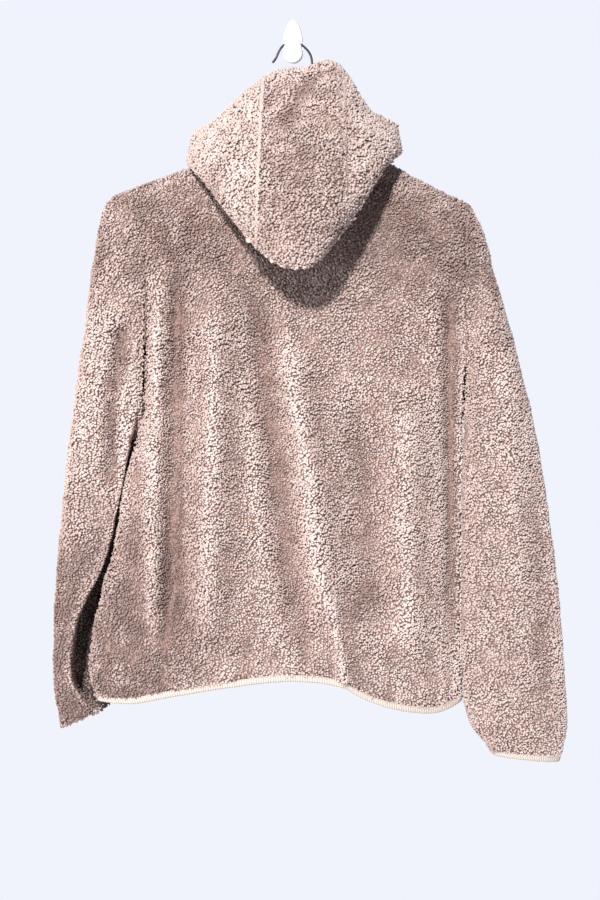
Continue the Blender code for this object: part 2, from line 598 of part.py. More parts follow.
def drawn_in(sheet):
    """The sheet's points with each sewn edge pulled back by half the seam gap."""
    points = sheet.points.copy()

    def pull(edge, inside):
        """Move an edge squarely away from its seam."""
        if sheet.tube:
            seam = np.roll(edge, -1, axis=0) - np.roll(edge, 1, axis=0)
        else:
            seam = np.gradient(edge, axis=0)
        seam = seam / np.linalg.norm(seam, axis=-1, keepdims=True)
        away = inside - edge
        away = away - seam * np.sum(away * seam, axis=-1, keepdims=True)
        return edge + away / np.linalg.norm(away, axis=-1, keepdims=True) * sheet.gap / 2

    if "top" not in sheet.open_edges:
        points[0] = pull(points[0], sheet.points[1])
    if "low" not in sheet.open_edges:
        points[-1] = pull(points[-1], sheet.points[-2])
    if not sheet.tube:
        points[:, 0] = pull(points[:, 0], sheet.points[:, 1])
        points[:, -1] = pull(points[:, -1], sheet.points[:, -2])
    return points


def add_object(name, mesh_data, material):
    mesh = bpy.data.meshes.new(name)
    mesh_data.to_mesh(mesh)
    mesh_data.free()
    mesh.materials.append(material_named(material))
    item = bpy.data.objects.new(name, mesh)
    bpy.context.collection.objects.link(item)
    return item


def material_named(name):
    found = bpy.data.materials.get(name)
    if found:
        return found
    colour, roughness, metallic = MATERIALS[name]
    material = bpy.data.materials.new(name)
    material.use_nodes = True
    shader = material.node_tree.nodes["Principled BSDF"]
    shader.inputs["Base Color"].default_value = (*colour, 1.0)
    shader.inputs["Roughness"].default_value = roughness
    shader.inputs["Metallic"].default_value = metallic
    return material


def wall(sheet):
    """Closed wall of a sheet: outer grid, inner grid and a rim along every edge."""
    points = drawn_in(sheet)
    outer = points - sheet.normals * sheet.depth
    inner = outer - sheet.normals * sheet.thickness * sheet.share
    rows, columns = outer.shape[:2]
    mesh_data = bmesh.new()
    grids = []
    for grid in (outer, inner):
        grids.append([[mesh_data.verts.new(grid[i, j]) for j in range(columns)] for i in range(rows)])
    last = columns if sheet.tube else columns - 1
    for i in range(rows - 1):
        for j in range(last):
            k = (j + 1) % columns
            top, low = grids
            mesh_data.faces.new((top[i][j], top[i + 1][j], top[i + 1][k], top[i][k]))
            mesh_data.faces.new((low[i][j], low[i][k], low[i + 1][k], low[i + 1][j]))

    def rim(cells):
        """Rim quads, all split along the diagonal that a neighbouring piece also uses."""
        for (i, j), (k, m) in cells:
            out_a, out_b = grids[0][i][j], grids[0][k][m]
            in_a, in_b = grids[1][i][j], grids[1][k][m]
            first = tuple(np.round(sheet.points[i, j], 5))
            second = tuple(np.round(sheet.points[k, m], 5))
            if first < second:
                mesh_data.faces.new((out_a, out_b, in_b))
                mesh_data.faces.new((out_a, in_b, in_a))
            else:
                mesh_data.faces.new((out_a, out_b, in_a))
                mesh_data.faces.new((out_b, in_b, in_a))

    rim([((0, j), (0, (j + 1) % columns)) for j in range(last)])
    rim([((rows - 1, (j + 1) % columns), (rows - 1, j)) for j in range(last)])
    if not sheet.tube:
        rim([((i + 1, 0), (i, 0)) for i in range(rows - 1)])
        rim([((i, columns - 1), (i + 1, columns - 1)) for i in range(rows - 1)])
    bmesh.ops.recalc_face_normals(mesh_data, faces=mesh_data.faces)
    return add_object(sheet.name, mesh_data, sheet.material)


# ---------------------------------------------------------------- the jacket's cut pieces
def row_shares():
    """Shares of the length: close together over the shoulder and at the armpit and hem."""
    upper = ARMPIT * (1 - np.cos(math.pi * np.arange(ARMHOLE_CELLS) / ARMHOLE_CELLS)) / 2
    lower = ARMPIT + (1 - ARMPIT) * np.linspace(0, 1, BODY_CELLS + 1)
    return np.concatenate([upper, lower])


def neck_columns(part):
    """Shares of the neckline where a hood panel or a body panel has its columns."""
    front = np.linspace(0, NECK_SIDE, FRONT_NECK_CELLS + 1)
    back_left = np.linspace(NECK_SIDE, HOOD_SEAM_LEFT, HOOD_SIDE_CELLS + 1)
    strip = np.linspace(HOOD_SEAM_LEFT, HOOD_SEAM_RIGHT, HOOD_STRIP_CELLS + 1)
    back_right = np.linspace(HOOD_SEAM_RIGHT, 1 - NECK_SIDE, HOOD_SIDE_CELLS + 1)
    return {
        "front_left": front,
        "front_right": 1 - front,
        "back": np.concatenate([back_left, strip[1:], back_right[1:]]),
        "hood_left": np.concatenate([front, back_left[1:]]),
        "hood_centre": strip,
        "hood_right": np.concatenate([back_right, 1 - front[-2::-1]]),
    }[part]


def torso_sheets():
    t = row_shares()[:, None]
    left_shoulder = np.linspace(0, NECK_LEFT, SHOULDER_CELLS + 1)[:-1]
    right_shoulder = np.linspace(NECK_RIGHT, 1, SHOULDER_CELLS + 1)[1:]
    back_s = np.concatenate([left_shoulder, neck_s(neck_columns("back")), right_shoulder])
    left_s = np.concatenate([left_shoulder, neck_s(neck_columns("front_left"))[::-1]])
    right_s = np.concatenate([neck_s(neck_columns("front_right")), right_shoulder])
    return [
        Sheet("back", torso("back", back_s[None], t), "pile"),
        Sheet("front_left", torso("front", left_s[None], t)[:, ::-1], "pile"),
        Sheet("front_right", torso("front", right_s[None], t)[:, ::-1], "pile"),
    ]


def sleeve_sheet(side):
    columns = 2 * ARMHOLE_CELLS
    a = np.arange(columns) / columns
    if side == "right":
        a = a[::-1]
    w = (np.linspace(0, 1, SLEEVE_ROWS + 1) ** 1.12)[:, None]
    return Sheet("sleeve_" + side, sleeve(side, a[None], w), "pile", tube=True)


def hood_sheets():
    v = (np.arange(HOOD_ROWS + 1) / HOOD_ROWS)[:, None]
    sheets = []
    for name in ("hood_left", "hood_centre", "hood_right"):
        points = hood(neck_columns(name)[None], v)
        sheets.append(Sheet(name, points[::-1], "pile"))
    return sheets


def edge_band(name, edge, before, tube):
    """Elastic binding that carries on past an edge row, in the cloth's own direction."""
    way = edge - before
    way = way / np.linalg.norm(way, axis=-1, keepdims=True)
    rows = np.stack([edge, edge + way * BINDING_WIDTH / 2, edge + way * BINDING_WIDTH])
    depth = (CLOTH - BINDING) / 2
    return Sheet(name, rows, "binding", BINDING, depth, tube=tube, open_edges="low", gap=BINDING_GAP)


def binding_sheets(cloth):
    back, left, right = cloth["back"], cloth["front_left"], cloth["front_right"]
    parts = [left.points[-2:], back.points[-2:, 1:-1], right.points[-2:]]
    hem = np.concatenate([parts[0], parts[1], parts[2]], axis=1)
    sheets = [edge_band("hem_binding", hem[1], hem[0], tube=False)]
    for side in ("left", "right"):
        points = cloth["sleeve_" + side].points
        sheets.append(edge_band("cuff_binding_" + side, points[-1], points[-2], tube=True))
    brims = [cloth["hood_left"].points, cloth["hood_centre"].points[:, 1:], cloth["hood_right"].points[:, 1:]]
    brim = np.concatenate(brims, axis=1)[:2]
    sheets.append(edge_band("hood_binding", brim[0][::-1], brim[1][::-1], tube=False))
    return sheets


def zip_sheets():
    t = row_shares()[:, None]
    inner = TEETH_HALF_WIDTH
    outer = ZIP_HALF_WIDTH
    middle = torso("front", 0.5 + np.array([[inner, 0, -inner]]), t)
    left = torso("front", 0.5 - np.array([[inner, outer]]), t)
    right = torso("front", 0.5 + np.array([[outer, inner]]), t)
    return [
        Sheet("zip_teeth", middle, "metal", TEETH, TEETH_DEPTH),
        Sheet("zip_tape_left", left, "tape", TAPE, TAPE_DEPTH),
        Sheet("zip_tape_right", right, "tape", TAPE, TAPE_DEPTH),
    ]


def make_jacket():
    cloth = torso_sheets() + [sleeve_sheet("left"), sleeve_sheet("right")] + hood_sheets()
    named = {sheet.name: sheet for sheet in cloth}
    sheets = cloth + binding_sheets(named) + zip_sheets()
    share_normals(sheets)
    fit_thickness(sheets)
    for sheet in sheets:
        item = wall(sheet)
        item.data.shade_smooth()
        item.data.set_sharp_from_angle(angle=math.radians(50))


# ---------------------------------------------------------------- hanger and wall hook
def swept(name, path, half_height, half_depth, sides, material):
    """Tube of oval section along points that lie nearly in the wall's plane."""
    mesh_data = bmesh.new()
    rings = []
    for i in range(len(path)):
        ahead = path[min(i + 1, len(path) - 1)] - path[max(i - 1, 0)]
        ahead = ahead / np.linalg.norm(ahead)
        depth_way = np.array([0.0, 1.0, 0.0]) - ahead * ahead[1]
        depth_way = depth_way / np.linalg.norm(depth_way)
        height_way = np.cross(depth_way, ahead)
        angles = 2 * math.pi * np.arange(sides) / sides
        ring = path[i] + np.outer(np.cos(angles) * half_depth, depth_way)
        ring = ring + np.outer(np.sin(angles) * half_height, height_way)
        rings.append([mesh_data.verts.new(point) for point in ring])
    for near, far in zip(rings[:-1], rings[1:]):
        for j in range(sides):
            k = (j + 1) % sides
            mesh_data.faces.new((near[j], near[k], far[k], far[j]))
    mesh_data.faces.new(rings[0])
    mesh_data.faces.new(rings[-1])
    bmesh.ops.recalc_face_normals(mesh_data, faces=mesh_data.faces)
    item = add_object(name, mesh_data, material)
    item.data.shade_smooth()
    item.data.set_sharp_from_angle(angle=math.radians(50))
    return item


def smooth_path(rows, count):
    """Points at even steps of a smooth curve through a table of x, y and z."""
    points = np.stack([rows["x"], rows["y"], rows["z"]], axis=-1)
    steps = np.linalg.norm(np.diff(points, axis=0), axis=-1)
    keys = np.concatenate([[0.0], np.cumsum(steps)])
    at = np.linspace(0, keys[-1], count)
    return np.stack([curve(keys, points[:, i], at) for i in range(3)], axis=-1)


def make_hanger():
    swept("hanger_bar", smooth_path(HANGER_BAR, 26), BAR_HALF_HEIGHT, BAR_HALF_DEPTH, 12, "wood")
    swept("hanger_hook", smooth_path(HOOK_WIRE, 44), WIRE_RADIUS, WIRE_RADIUS, 8, "metal")


def egg(top, bottom, half_width, widest, sides=28):
    """Outline in x and z, pointed a little at the top and widest at a share of its height."""
    angles = 2 * math.pi * np.arange(sides) / sides
    middle = top + (bottom - top) * widest
    up = np.cos(angles)
    z = np.where(up > 0, middle + (top - middle) * up, middle + (middle - bottom) * up)
    narrow = np.where(up > 0, 1 - 0.16 * up * up, 1.0)
    x = half_width * np.sin(angles) * narrow
    return x, z


def turned_plate(name, outline, levels):
    """Plate with an outline, stepped in towards its face: levels hold y and scale."""
    x, z = outline
    centre_z = (z.max() + z.min()) / 2
    mesh_data = bmesh.new()
    rings = []
    for y, scale in levels:
        ring = zip(x * scale, centre_z + (z - centre_z) * scale)
        rings.append([mesh_data.verts.new((px, y, pz)) for px, pz in ring])
    for near, far in zip(rings[:-1], rings[1:]):
        for j in range(len(near)):
            k = (j + 1) % len(near)
            mesh_data.faces.new((near[j], near[k], far[k], far[j]))
    mesh_data.faces.new(rings[0])
    mesh_data.faces.new(rings[-1])
    bmesh.ops.recalc_face_normals(mesh_data, faces=mesh_data.faces)
    item = add_object(name, mesh_data, "plastic")
    item.data.shade_smooth()
    item.data.set_sharp_from_angle(angle=math.radians(50))
    return item


def unite(body, tool):
    """Fuse a second moulded shape into a body; the shape itself stays a hidden guide."""
    joint = body.modifiers.new("joined_" + tool.name, "BOOLEAN")
    joint.operation = "UNION"
    joint.object = tool
    tool.hide_render = True
    tool.display_type = "WIRE"


def make_wall_hook():
    base_outline = egg(HOOK_TOP, HOOK_BOTTOM, HOOK_HALF_WIDTH, 0.62)
    depth = -HOOK_BASE_DEPTH
    base_levels = [(0.0, 1.0), (0.45 * depth, 1.0), (0.75 * depth, 0.95), (0.94 * depth, 0.84), (depth, 0.66)]
    base = turned_plate("wall_hook", base_outline, base_levels)
    lip_outline = egg(LIP_TOP, LIP_BOTTOM, LIP_HALF_WIDTH, 0.66)
    lip_span = LIP_NEAR - LIP_FAR
    lip_shape = [(0.0, 0.55), (0.12, 0.80), (0.32, 0.95), (0.50, 1.0), (0.72, 0.92), (0.90, 0.70),
                 (1.0, 0.40)]
    lip_levels = [(LIP_FAR + lip_span * share, scale) for share, scale in lip_shape]
    lip = turned_plate("wall_hook_lip", lip_outline, lip_levels)
    arm_outline = egg(ARM_TOP, ARM_TOP - ARM_HEIGHT, ARM_HALF_WIDTH, 0.5, sides=16)
    arm = turned_plate("wall_hook_arm", arm_outline, [(-0.0030, 1.15), (-0.0100, 1.0), (-0.0300, 1.0)])
    unite(base, arm)
    unite(base, lip)


# ---------------------------------------------------------------- zip slider and pull tab
def block(mesh_data, low, high):
    """Box between two corners, added to a mesh."""
    size = Vector(high) - Vector(low)
    centre = (Vector(high) + Vector(low)) / 2
    place = Matrix.Translation(centre) @ Matrix.Diagonal((*size, 1.0))
    return bmesh.ops.create_cube(mesh_data, size=1.0, matrix=place)["verts"]


def slider_place():
    """Where the slider sits on the teeth: x of the zip, its face, and the bridge's height."""
    throat = torso("front", 0.5, 0.0)
    seat_z = throat[2] - SLIDER_DROP - SLIDER_LENGTH / 2
    length = torso("front", 0.5, 1.0)[2] - throat[2]
    seat = torso("front", 0.5, (seat_z - throat[2]) / length)
    return seat[0], seat[1] - TEETH_DEPTH + SLIDER_CLEARANCE, seat_z


def make_slider():
    x, face_y, z = slider_place()
    mesh_data = bmesh.new()
    block(mesh_data, (x - SLIDER_WIDTH / 2, face_y, z - SLIDER_LENGTH / 2),
          (x + SLIDER_WIDTH / 2, face_y + SLIDER_DEPTH, z + SLIDER_LENGTH / 2))
    bmesh.ops.bevel(mesh_data, geom=mesh_data.edges[:], offset=SLIDER_EDGE, segments=2, affect="EDGES")
    slider = add_object("zip_slider", mesh_data, "metal")
    top_y = face_y + SLIDER_DEPTH
    bridge = bmesh.new()
    outer = []
    inner = []
    for i in range(9):
        angle = math.pi * i / 8
        reach = math.sin(angle)
        foot_y = top_y - BRIDGE_HALF
        outer.append((foot_y + (BRIDGE_REACH + BRIDGE_HALF) * reach, BRIDGE_LENGTH / 2 * math.cos(angle)))
        inner.append((foot_y + (BRIDGE_REACH - BRIDGE_HALF) * reach,
                      (BRIDGE_LENGTH / 2 - BRIDGE_FOOT) * math.cos(angle)))
    rings = []
    for offset in (-BRIDGE_WIDTH / 2, BRIDGE_WIDTH / 2):
        rings.append([bridge.verts.new((x + offset, y, z + dz)) for y, dz in outer + inner[::-1]])
    count = len(rings[0])
    for j in range(count):
        k = (j + 1) % count
        bridge.faces.new((rings[0][j], rings[0][k], rings[1][k], rings[1][j]))
    for ring in rings:
        for j in range(8):
            bridge.faces.new((ring[j], ring[j + 1], ring[count - 2 - j], ring[count - 1 - j]))
    bmesh.ops.recalc_face_normals(bridge, faces=bridge.faces)
    unite(slider, add_object("zip_bridge", bridge, "metal"))


def make_pull():
    """Flat tab with a slot round the bridge; its cross bar is the hinge's axis."""
    x, face_y, z = slider_place()
    axis_y = face_y + SLIDER_DEPTH + TAB_AXIS
    root = bpy.data.objects.new("zip_pull_axis", None)
    root.location = (x, axis_y, z)
    bpy.context.collection.objects.link(root)
    mesh_data = bmesh.new()
    half = TAB_THICKNESS / 2
    outline = [(-TAB_WIDTH / 2, half), (TAB_WIDTH / 2, half)]
    for i in range(9):
        angle = math.pi * i / 8
        outline.append((TAB_WIDTH / 2 * math.cos(angle), -TAB_LENGTH + TAB_WIDTH / 2 * (1 - math.sin(angle))))
    slot = [(-TAB_SLOT_WIDTH / 2, -half), (TAB_SLOT_WIDTH / 2, -half),
            (TAB_SLOT_WIDTH / 2, -TAB_SLOT_LENGTH), (-TAB_SLOT_WIDTH / 2, -TAB_SLOT_LENGTH)]
    faces = [mesh_data.verts.new((px, -half, pz)) for px, pz in outline]
    plate = mesh_data.faces.new(faces)
    grown = bmesh.ops.extrude_face_region(mesh_data, geom=[plate])
    for vert in [part for part in grown["geom"] if isinstance(part, bmesh.types.BMVert)]:
        vert.co.y += TAB_THICKNESS
    bmesh.ops.recalc_face_normals(mesh_data, faces=mesh_data.faces)
    tab = add_object("zip_pull", mesh_data, "metal")
    cutter_mesh = bmesh.new()
    block(cutter_mesh, (slot[0][0], -0.01, slot[2][1]), (slot[1][0], 0.01, slot[0][1]))
    cutter = add_object("zip_pull_slot", cutter_mesh, "metal")
    for item in (tab, cutter):
        item.parent = root
    cut = tab.modifiers.new("slot", "BOOLEAN")
    cut.operation = "DIFFERENCE"
    cut.object = cutter
    cutter.hide_render = True
    cutter.display_type = "WIRE"


def main():
    for item in list(bpy.data.objects):
        bpy.data.objects.remove(item, do_unlink=True)
    make_jacket()
    make_hanger()
    make_wall_hook()
    make_slider()
    make_pull()


main()
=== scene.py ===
"""Looks of a hooded sherpa jacket on a hanger and a wall hook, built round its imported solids.

Metres, +Z up; the wall is the plane y = 0 and the viewer looks along +Y. Every cut piece of
cloth is a thin backing with tufts of pile on its outer side, made from the same named sizes
and tables as the solids.
"""

import json
import math

import bmesh
import bpy
import numpy as np
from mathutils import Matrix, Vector
from mathutils.bvhtree import BVHTree

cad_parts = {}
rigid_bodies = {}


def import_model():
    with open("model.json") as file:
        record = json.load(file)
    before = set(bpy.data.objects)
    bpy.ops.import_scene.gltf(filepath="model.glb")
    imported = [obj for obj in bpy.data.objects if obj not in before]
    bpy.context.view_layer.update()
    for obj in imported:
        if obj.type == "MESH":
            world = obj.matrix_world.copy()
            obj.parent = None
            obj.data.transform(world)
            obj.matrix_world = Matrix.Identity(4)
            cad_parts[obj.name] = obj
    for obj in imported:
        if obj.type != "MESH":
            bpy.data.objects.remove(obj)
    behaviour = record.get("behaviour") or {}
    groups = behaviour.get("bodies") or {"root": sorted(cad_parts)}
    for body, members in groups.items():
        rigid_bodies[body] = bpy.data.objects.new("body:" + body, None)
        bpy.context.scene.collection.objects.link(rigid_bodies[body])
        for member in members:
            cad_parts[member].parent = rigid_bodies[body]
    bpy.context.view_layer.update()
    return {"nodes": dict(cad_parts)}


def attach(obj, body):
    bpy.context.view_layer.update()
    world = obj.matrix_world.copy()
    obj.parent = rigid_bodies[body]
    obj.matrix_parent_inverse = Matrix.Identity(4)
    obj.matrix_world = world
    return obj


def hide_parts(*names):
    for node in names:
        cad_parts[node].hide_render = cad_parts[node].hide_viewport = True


for item in list(bpy.data.objects):
    bpy.data.objects.remove(item, do_unlink=True)

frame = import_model()

# ---- sizes of the jacket, as in its solids
CLOTH = 0.0030  # wall of knit backing and pile; its outer side is the tips of the pile
BINDING = 0.0020  # thickness of the elastic edge binding
SEAM_Y = -0.046  # the shoulder seams lie over the hanger, this far from the wall
NECK_LEFT = 0.282  # highest points of the shoulders, as fractions of the width
NECK_RIGHT = 0.728
NECK_POWER = 1.7  # shape of the neckline's arch, of the body's sides and of the shoulder's turn
SIDE_POWER = 2.6
ROLL_POWER = 2.2
NAPE_DROP = 0.020  # how far the neckline dips below the shoulders' high points
THROAT_DROP = 0.072
NAPE_REACH = 0.040  # how far it stands towards the viewer and towards the wall
THROAT_REACH = 0.027
SHOULDER_ROLL = 0.10  # share of the length over which the cloth turns over the shoulder
ARMPIT = 0.432  # share of the length from shoulder tip to hem
ARMHOLE_NEAR = 0.026  # how far the armhole opens from its middle, to the viewer
ARMHOLE_FAR = 0.022  # and to the wall
ZIP_HALF_WIDTH = 0.028  # half the gap between the two fronts, as a share of the width
HOOD_SEAM_LEFT = 0.39  # the hood's strip between its side panels, as shares of the neckline
HOOD_SEAM_RIGHT = 0.625
NECK_SIDE = 0.25  # shares of the neckline at the shoulders' high points
FOLD_STARTS = 0.25  # shares of a fold's length over which it rises and dies away
FOLD_ENDS = 0.18
SLEEVE_FACE = 1.6  # how soon round a sleeve its folds have their full height

# ---- sizes of the looks: the backing
BODY_ROWS = 160
SHOULDER_CELLS = 32  # from a side seam to the shoulder's high point
NECK_CELLS = 50  # from there to the other, on the back
THROAT_CELLS = 24  # and to the zip, on the front
SLEEVE_COLUMNS = 96
SLEEVE_ROWS = 150
HOOD_ROWS = 96
HOOD_CELLS = (52, 36, 50)  # across its left side, its middle strip and its right side
HOOD_TURN = (0.2, 0.5)  # its folds grow in where its face turns so far to the viewer
WALK_STEPS = 240  # in which the length of a surface is measured
FOLD_GAIN = 1.10  # of the back's folds, added to those of its solid
EDGE_SHARE = 0.04  # of the back's width, where its folds die away towards its side seams
OVERHANG = 0.0085  # of the left cuff's pile over its turned-in binding
OVERHANG_START = 0.96  # from this share of the sleeve's length to its end
GRID_STEP = 2  # fine cells for each cell of a backing
PILE_DEPTH = 0.0022  # from the tips of the pile to its backing
SEAM_GROOVE = 0.0003  # how much deeper the backing lies along a seam
SEAM_REACH = 0.0030
PROBE_LIFT = 0.0015  # for measuring a solid's wall: above it, how far down, and through it
PROBE_REACH = 0.004
PROBE_SKIP = 0.0002
PROBE_DEPTH = 0.005
LEAST_SHARE = 0.3  # of the full thickness

# ---- its pile
PILE_SEED = 11
NEAR_SPACING = 0.0021  # least distance between tufts that face the viewer
FAR_SPACING = 0.0034  # and between those that face the wall
FACING_SHARE = 0.15
CANDIDATES = 3.5  # tries for each square of that size
HASH_CELL = 0.0036  # just above the widest spacing
NEIGHBOURS = [(a, b, c) for a in (-1, 0, 1) for b in (-1, 0, 1) for c in (-1, 0, 1)]
MOST_TUFTS = 16000  # in one mesh
# Root, belly and tip of a tuft: how far out, ahead and aside, and how near its tip it counts.
TUFT_SPINE = (
    (-0.0026, 0.0000, 0.0000),
    (-0.0001, 0.0020, 0.0008),
    (-0.0009, 0.0042, 0.0019),
)
TUFT_TIPS = (0.0, 0.80, 0.80, 0.80, 0.80, 1.0)  # of its six corners, 0 at the root
TUFT_RADIUS = 0.00177
TUFT_FLATNESS = 0.75
FAR_SIZE = 1.30  # of the near tufts' size
HOOD_SIZE = 1.12  # the hood's curls stand more open
FOLD_SIZE = 0.12  # the pile closes in a valley and opens on a ridge
SIZE_SPREAD = 0.16
SIZES = (0.7, 1.35)  # least and most
LIFT_SPREAD = 0.00035
LUMPS = ((0.0011, 0.022, 3), (0.0006, 0.010, 4))  # uneven swelling: height, width, seed
LUMP_BASE = -0.0006
ROW_PULL = 0.2  # how much the pile follows the cloth's rows and not the plumb line
NAP_TURN = -0.6  # lean of the pile from straight down, in radians
SWIRLS = ((0.9, 0.040, 1), (0.45, 0.010, 2))  # its turns over patches: radians, width, seed
STRAY = 0.28
CURL = 1.6  # of a tuft to one side, over patches and for each tuft, and the most of it
CURL_PATCHES = (0.014, 5)  # width, seed
CURL_SPREAD = 0.7
MOST_CURL = 1.5
TONE = 0.62  # how pale the pile is, from 0 to 1
# Painted shade: the hood and the sleeves are made darker than the back by these amounts of tone.
NODE_SHADE = {
    "hood_left": -0.26,
    "hood_centre": -0.24,
    "hood_right": -0.30,
    "sleeve_left": -0.08,
    "sleeve_right": -0.06,
}
TONE_SPREAD = 0.16  # over patches, and from tuft to tuft
TONE_PATCHES = (0.016, 6)
TONE_NOISE = 0.09
FOLD_LIGHT_AND_SHADE = 0.24  # painted shade darkens it in a valley and painted light pales it on a ridge
LEAST_TONE = 0.15
SHOULDER_SHADE = -0.34  # painted shade darkens it over the shoulders, between these heights
SHOULDER_TOP = -0.25
SHOULDER_END = -0.46
CORNER_SHADE = -0.42  # painted shade darkens it in the lower left corner, that is turned from the light
CORNER_TOP = -0.52
CORNER_END = -0.76
CORNER_SIDE = -0.04
CORNER_EDGE = -0.20
TUCKED_SHADE = -0.9  # painted shade darkens it where it is folded in behind the body's left edge
TUCKED_START = -0.052
TUCKED_REACH = 0.016
RELIEF_REACH = 0.016  # half the width of cloth that a fold is set against
RELIEF_HEIGHT = 0.0050  # that counts as a full ridge, above the height of even cloth
EVEN_RELIEF = 0.0008
ROOM_START = 0.0005  # above its root, where the search for a layer over it starts
LEAST_ROOM = 0.0016  # a tuft with less free space over it is hidden and left out
SEAM_WIDTH = 0.0020  # between the rows of a seam's roll
SEAM_SPLAY = 0.45  # of its curls, to either side
SEAM_SIZE = 0.9
SEAM_CURL = 0.3
SEAM_ROLLS = {  # name, side of the piece, pitch, rows, how proud and how pale; the paleness is a painted highlight on the hood's left seam and painted shade on the armhole seams
    "hood_left": ("hood_seam_left", "end", 0.0016, (-0.5, 0.0, 0.5), 0.0006, 0.55),
    "hood_centre": ("hood_seam_right", "end", 0.0021, (0.0,), 0.0002, 0.34),
    "sleeve_left": ("armhole_seam_left", "top", 0.0021, (0.0,), 0.0002, 0.26),
    "sleeve_right": ("armhole_seam_right", "top", 0.0021, (0.0,), 0.0002, 0.26),
}

# ---- its bindings and zip
TURNED_IN = 0.0050  # how far the left cuff's binding lies inside the pile
EDGE_STEP = 0.012  # shares of the length by which a binding's way along the cloth is found
CUFF_STEP = 0.015
HEM_POINTS = (90, 181)  # along each front's hem and along the back's
CUFF_POINTS = 120
HOOD_POINTS = 240
RIB_PITCH = 0.0030
RIB_HEIGHT = 0.00030
RIB_CAP = 0.4  # tone of a band's closed ends
GATHER = 0.0005
GATHER_PATCHES = (0.016, 8)
GATHER_WIDTH = 0.04
BAND_MIDDLE = -0.0008  # what lies further out than this has its ribs outwards
ZIP_POINTS = (200, 300)  # for the zip's length, and for its stitches
TOOTH_PITCH = 0.0018
TOOTH_REACH = 0.0034
TOOTH_DEPTH = 0.0016
TOOTH_SIDE = 0.42  # of the reach, from the zip's line
TOOTH_SINK = 0.0009
TOOTH_LEVELS = ((-0.5, 0.5, 0.24), (0.1, 0.6, 0.34), (0.5, 0.4, 0.18))  # out, half width, half length
ZIP_ENDS = (0.004, 0.996)  # shares of the front's length
STITCH_PITCH = 0.0032
STITCH_SPINE = ((-0.40, -0.0003), (-0.22, 0.0001), (0.22, 0.0001), (0.40, -0.0003))  # ahead, out
STITCH_EDGE = 0.006  # from the front's edge, as a share of the width
STITCH_SINK = 0.0008
THREAD_RADIUS = 0.00028

# ---- the studio
SKY_STRENGTH = 0.19
BACKDROP_STRENGTH = 1.0
FLOOR_RADIUS = 1.3
FLOOR_Z = -1.62
FOCAL_LENGTH = 50.0
SENSOR_WIDTH = 36.0
CAMERA_PLACE = (0.0091, -1.6275, -0.534)
LAMPS = (  # name, place, target, size, power
    ("key", (-1.25, -4.70, 2.20), (0.0, -0.10, -0.50), 0.50, 540.0),
    ("rake", (-1.90, -0.95, -0.20), (0.0, -0.05, -0.60), 0.60, 24.0),
    ("fill", (0.3, -1.9, -1.5), (0.0, -0.05, -0.75), 1.2, 6.0),
    ("front", (0.8, 2.9, 0.6), (0.0, -0.05, -0.50), 1.6, 75.0),
)


def table(names, *rows):
    """A small table as a dictionary of named columns."""
    return dict(zip(names.split(), np.array(rows, float).T))


# Torso by height: its two side edges in x and y, where the near (back) and far (front) cloth
# lie in the middle, and how square each half of the cross-section is.
TORSO = table(
    "z       left    right   left_y  right_y near    far     square far_square",
    (-0.206, -0.2130, 0.2165, -0.047, -0.047, -0.080, -0.018, 1.10, 1.10),
    (-0.225, -0.2060, 0.2235, -0.047, -0.047, -0.082, -0.017, 1.10, 1.10),
    (-0.260, -0.1950, 0.2185, -0.048, -0.048, -0.086, -0.016, 1.15, 1.15),
    (-0.330, -0.1835, 0.2160, -0.049, -0.049, -0.090, -0.015, 1.20, 1.20),
    (-0.400, -0.1835, 0.2155, -0.050, -0.049, -0.091, -0.015, 1.30, 1.30),
    (-0.460, -0.1875, 0.2155, -0.050, -0.048, -0.091, -0.015, 1.60, 1.50),
    (-0.500, -0.1930, 0.2160, -0.051, -0.047, -0.091, -0.015, 2.00, 1.80),
    (-0.570, -0.2110, 0.2165, -0.054, -0.047, -0.091, -0.015, 2.20, 2.00),
    (-0.670, -0.2285, 0.2165, -0.060, -0.047, -0.093, -0.016, 2.20, 1.80),
    (-0.720, -0.2415, 0.2160, -0.067, -0.047, -0.095, -0.017, 2.20, 1.50),
    (-0.775, -0.2500, 0.2155, -0.075, -0.048, -0.098, -0.018, 2.20, 1.30),
    (-0.812, -0.2520, 0.2150, -0.079, -0.050, -0.101, -0.019, 2.20, 1.25),
    (-0.850, -0.2400, 0.2135, -0.080, -0.052, -0.099, -0.022, 2.10, 1.25),
    (-0.865, -0.2380, 0.2125, -0.080, -0.052, -0.098, -0.023, 2.10, 1.25),
)
SHOULDER_LINE = table("s z", (0, -0.206), (NECK_LEFT, -0.163), (NECK_RIGHT, -0.160), (1, -0.222))
HEM_LINE = table(
    "s      z",
    (0.00, -0.838),
    (0.08, -0.840),
    (0.20, -0.831),
    (0.37, -0.818),
    (0.55, -0.810),
    (0.66, -0.817),
    (0.74, -0.836),
    (0.84, -0.849),
    (0.93, -0.852),
    (1.00, -0.842),
)
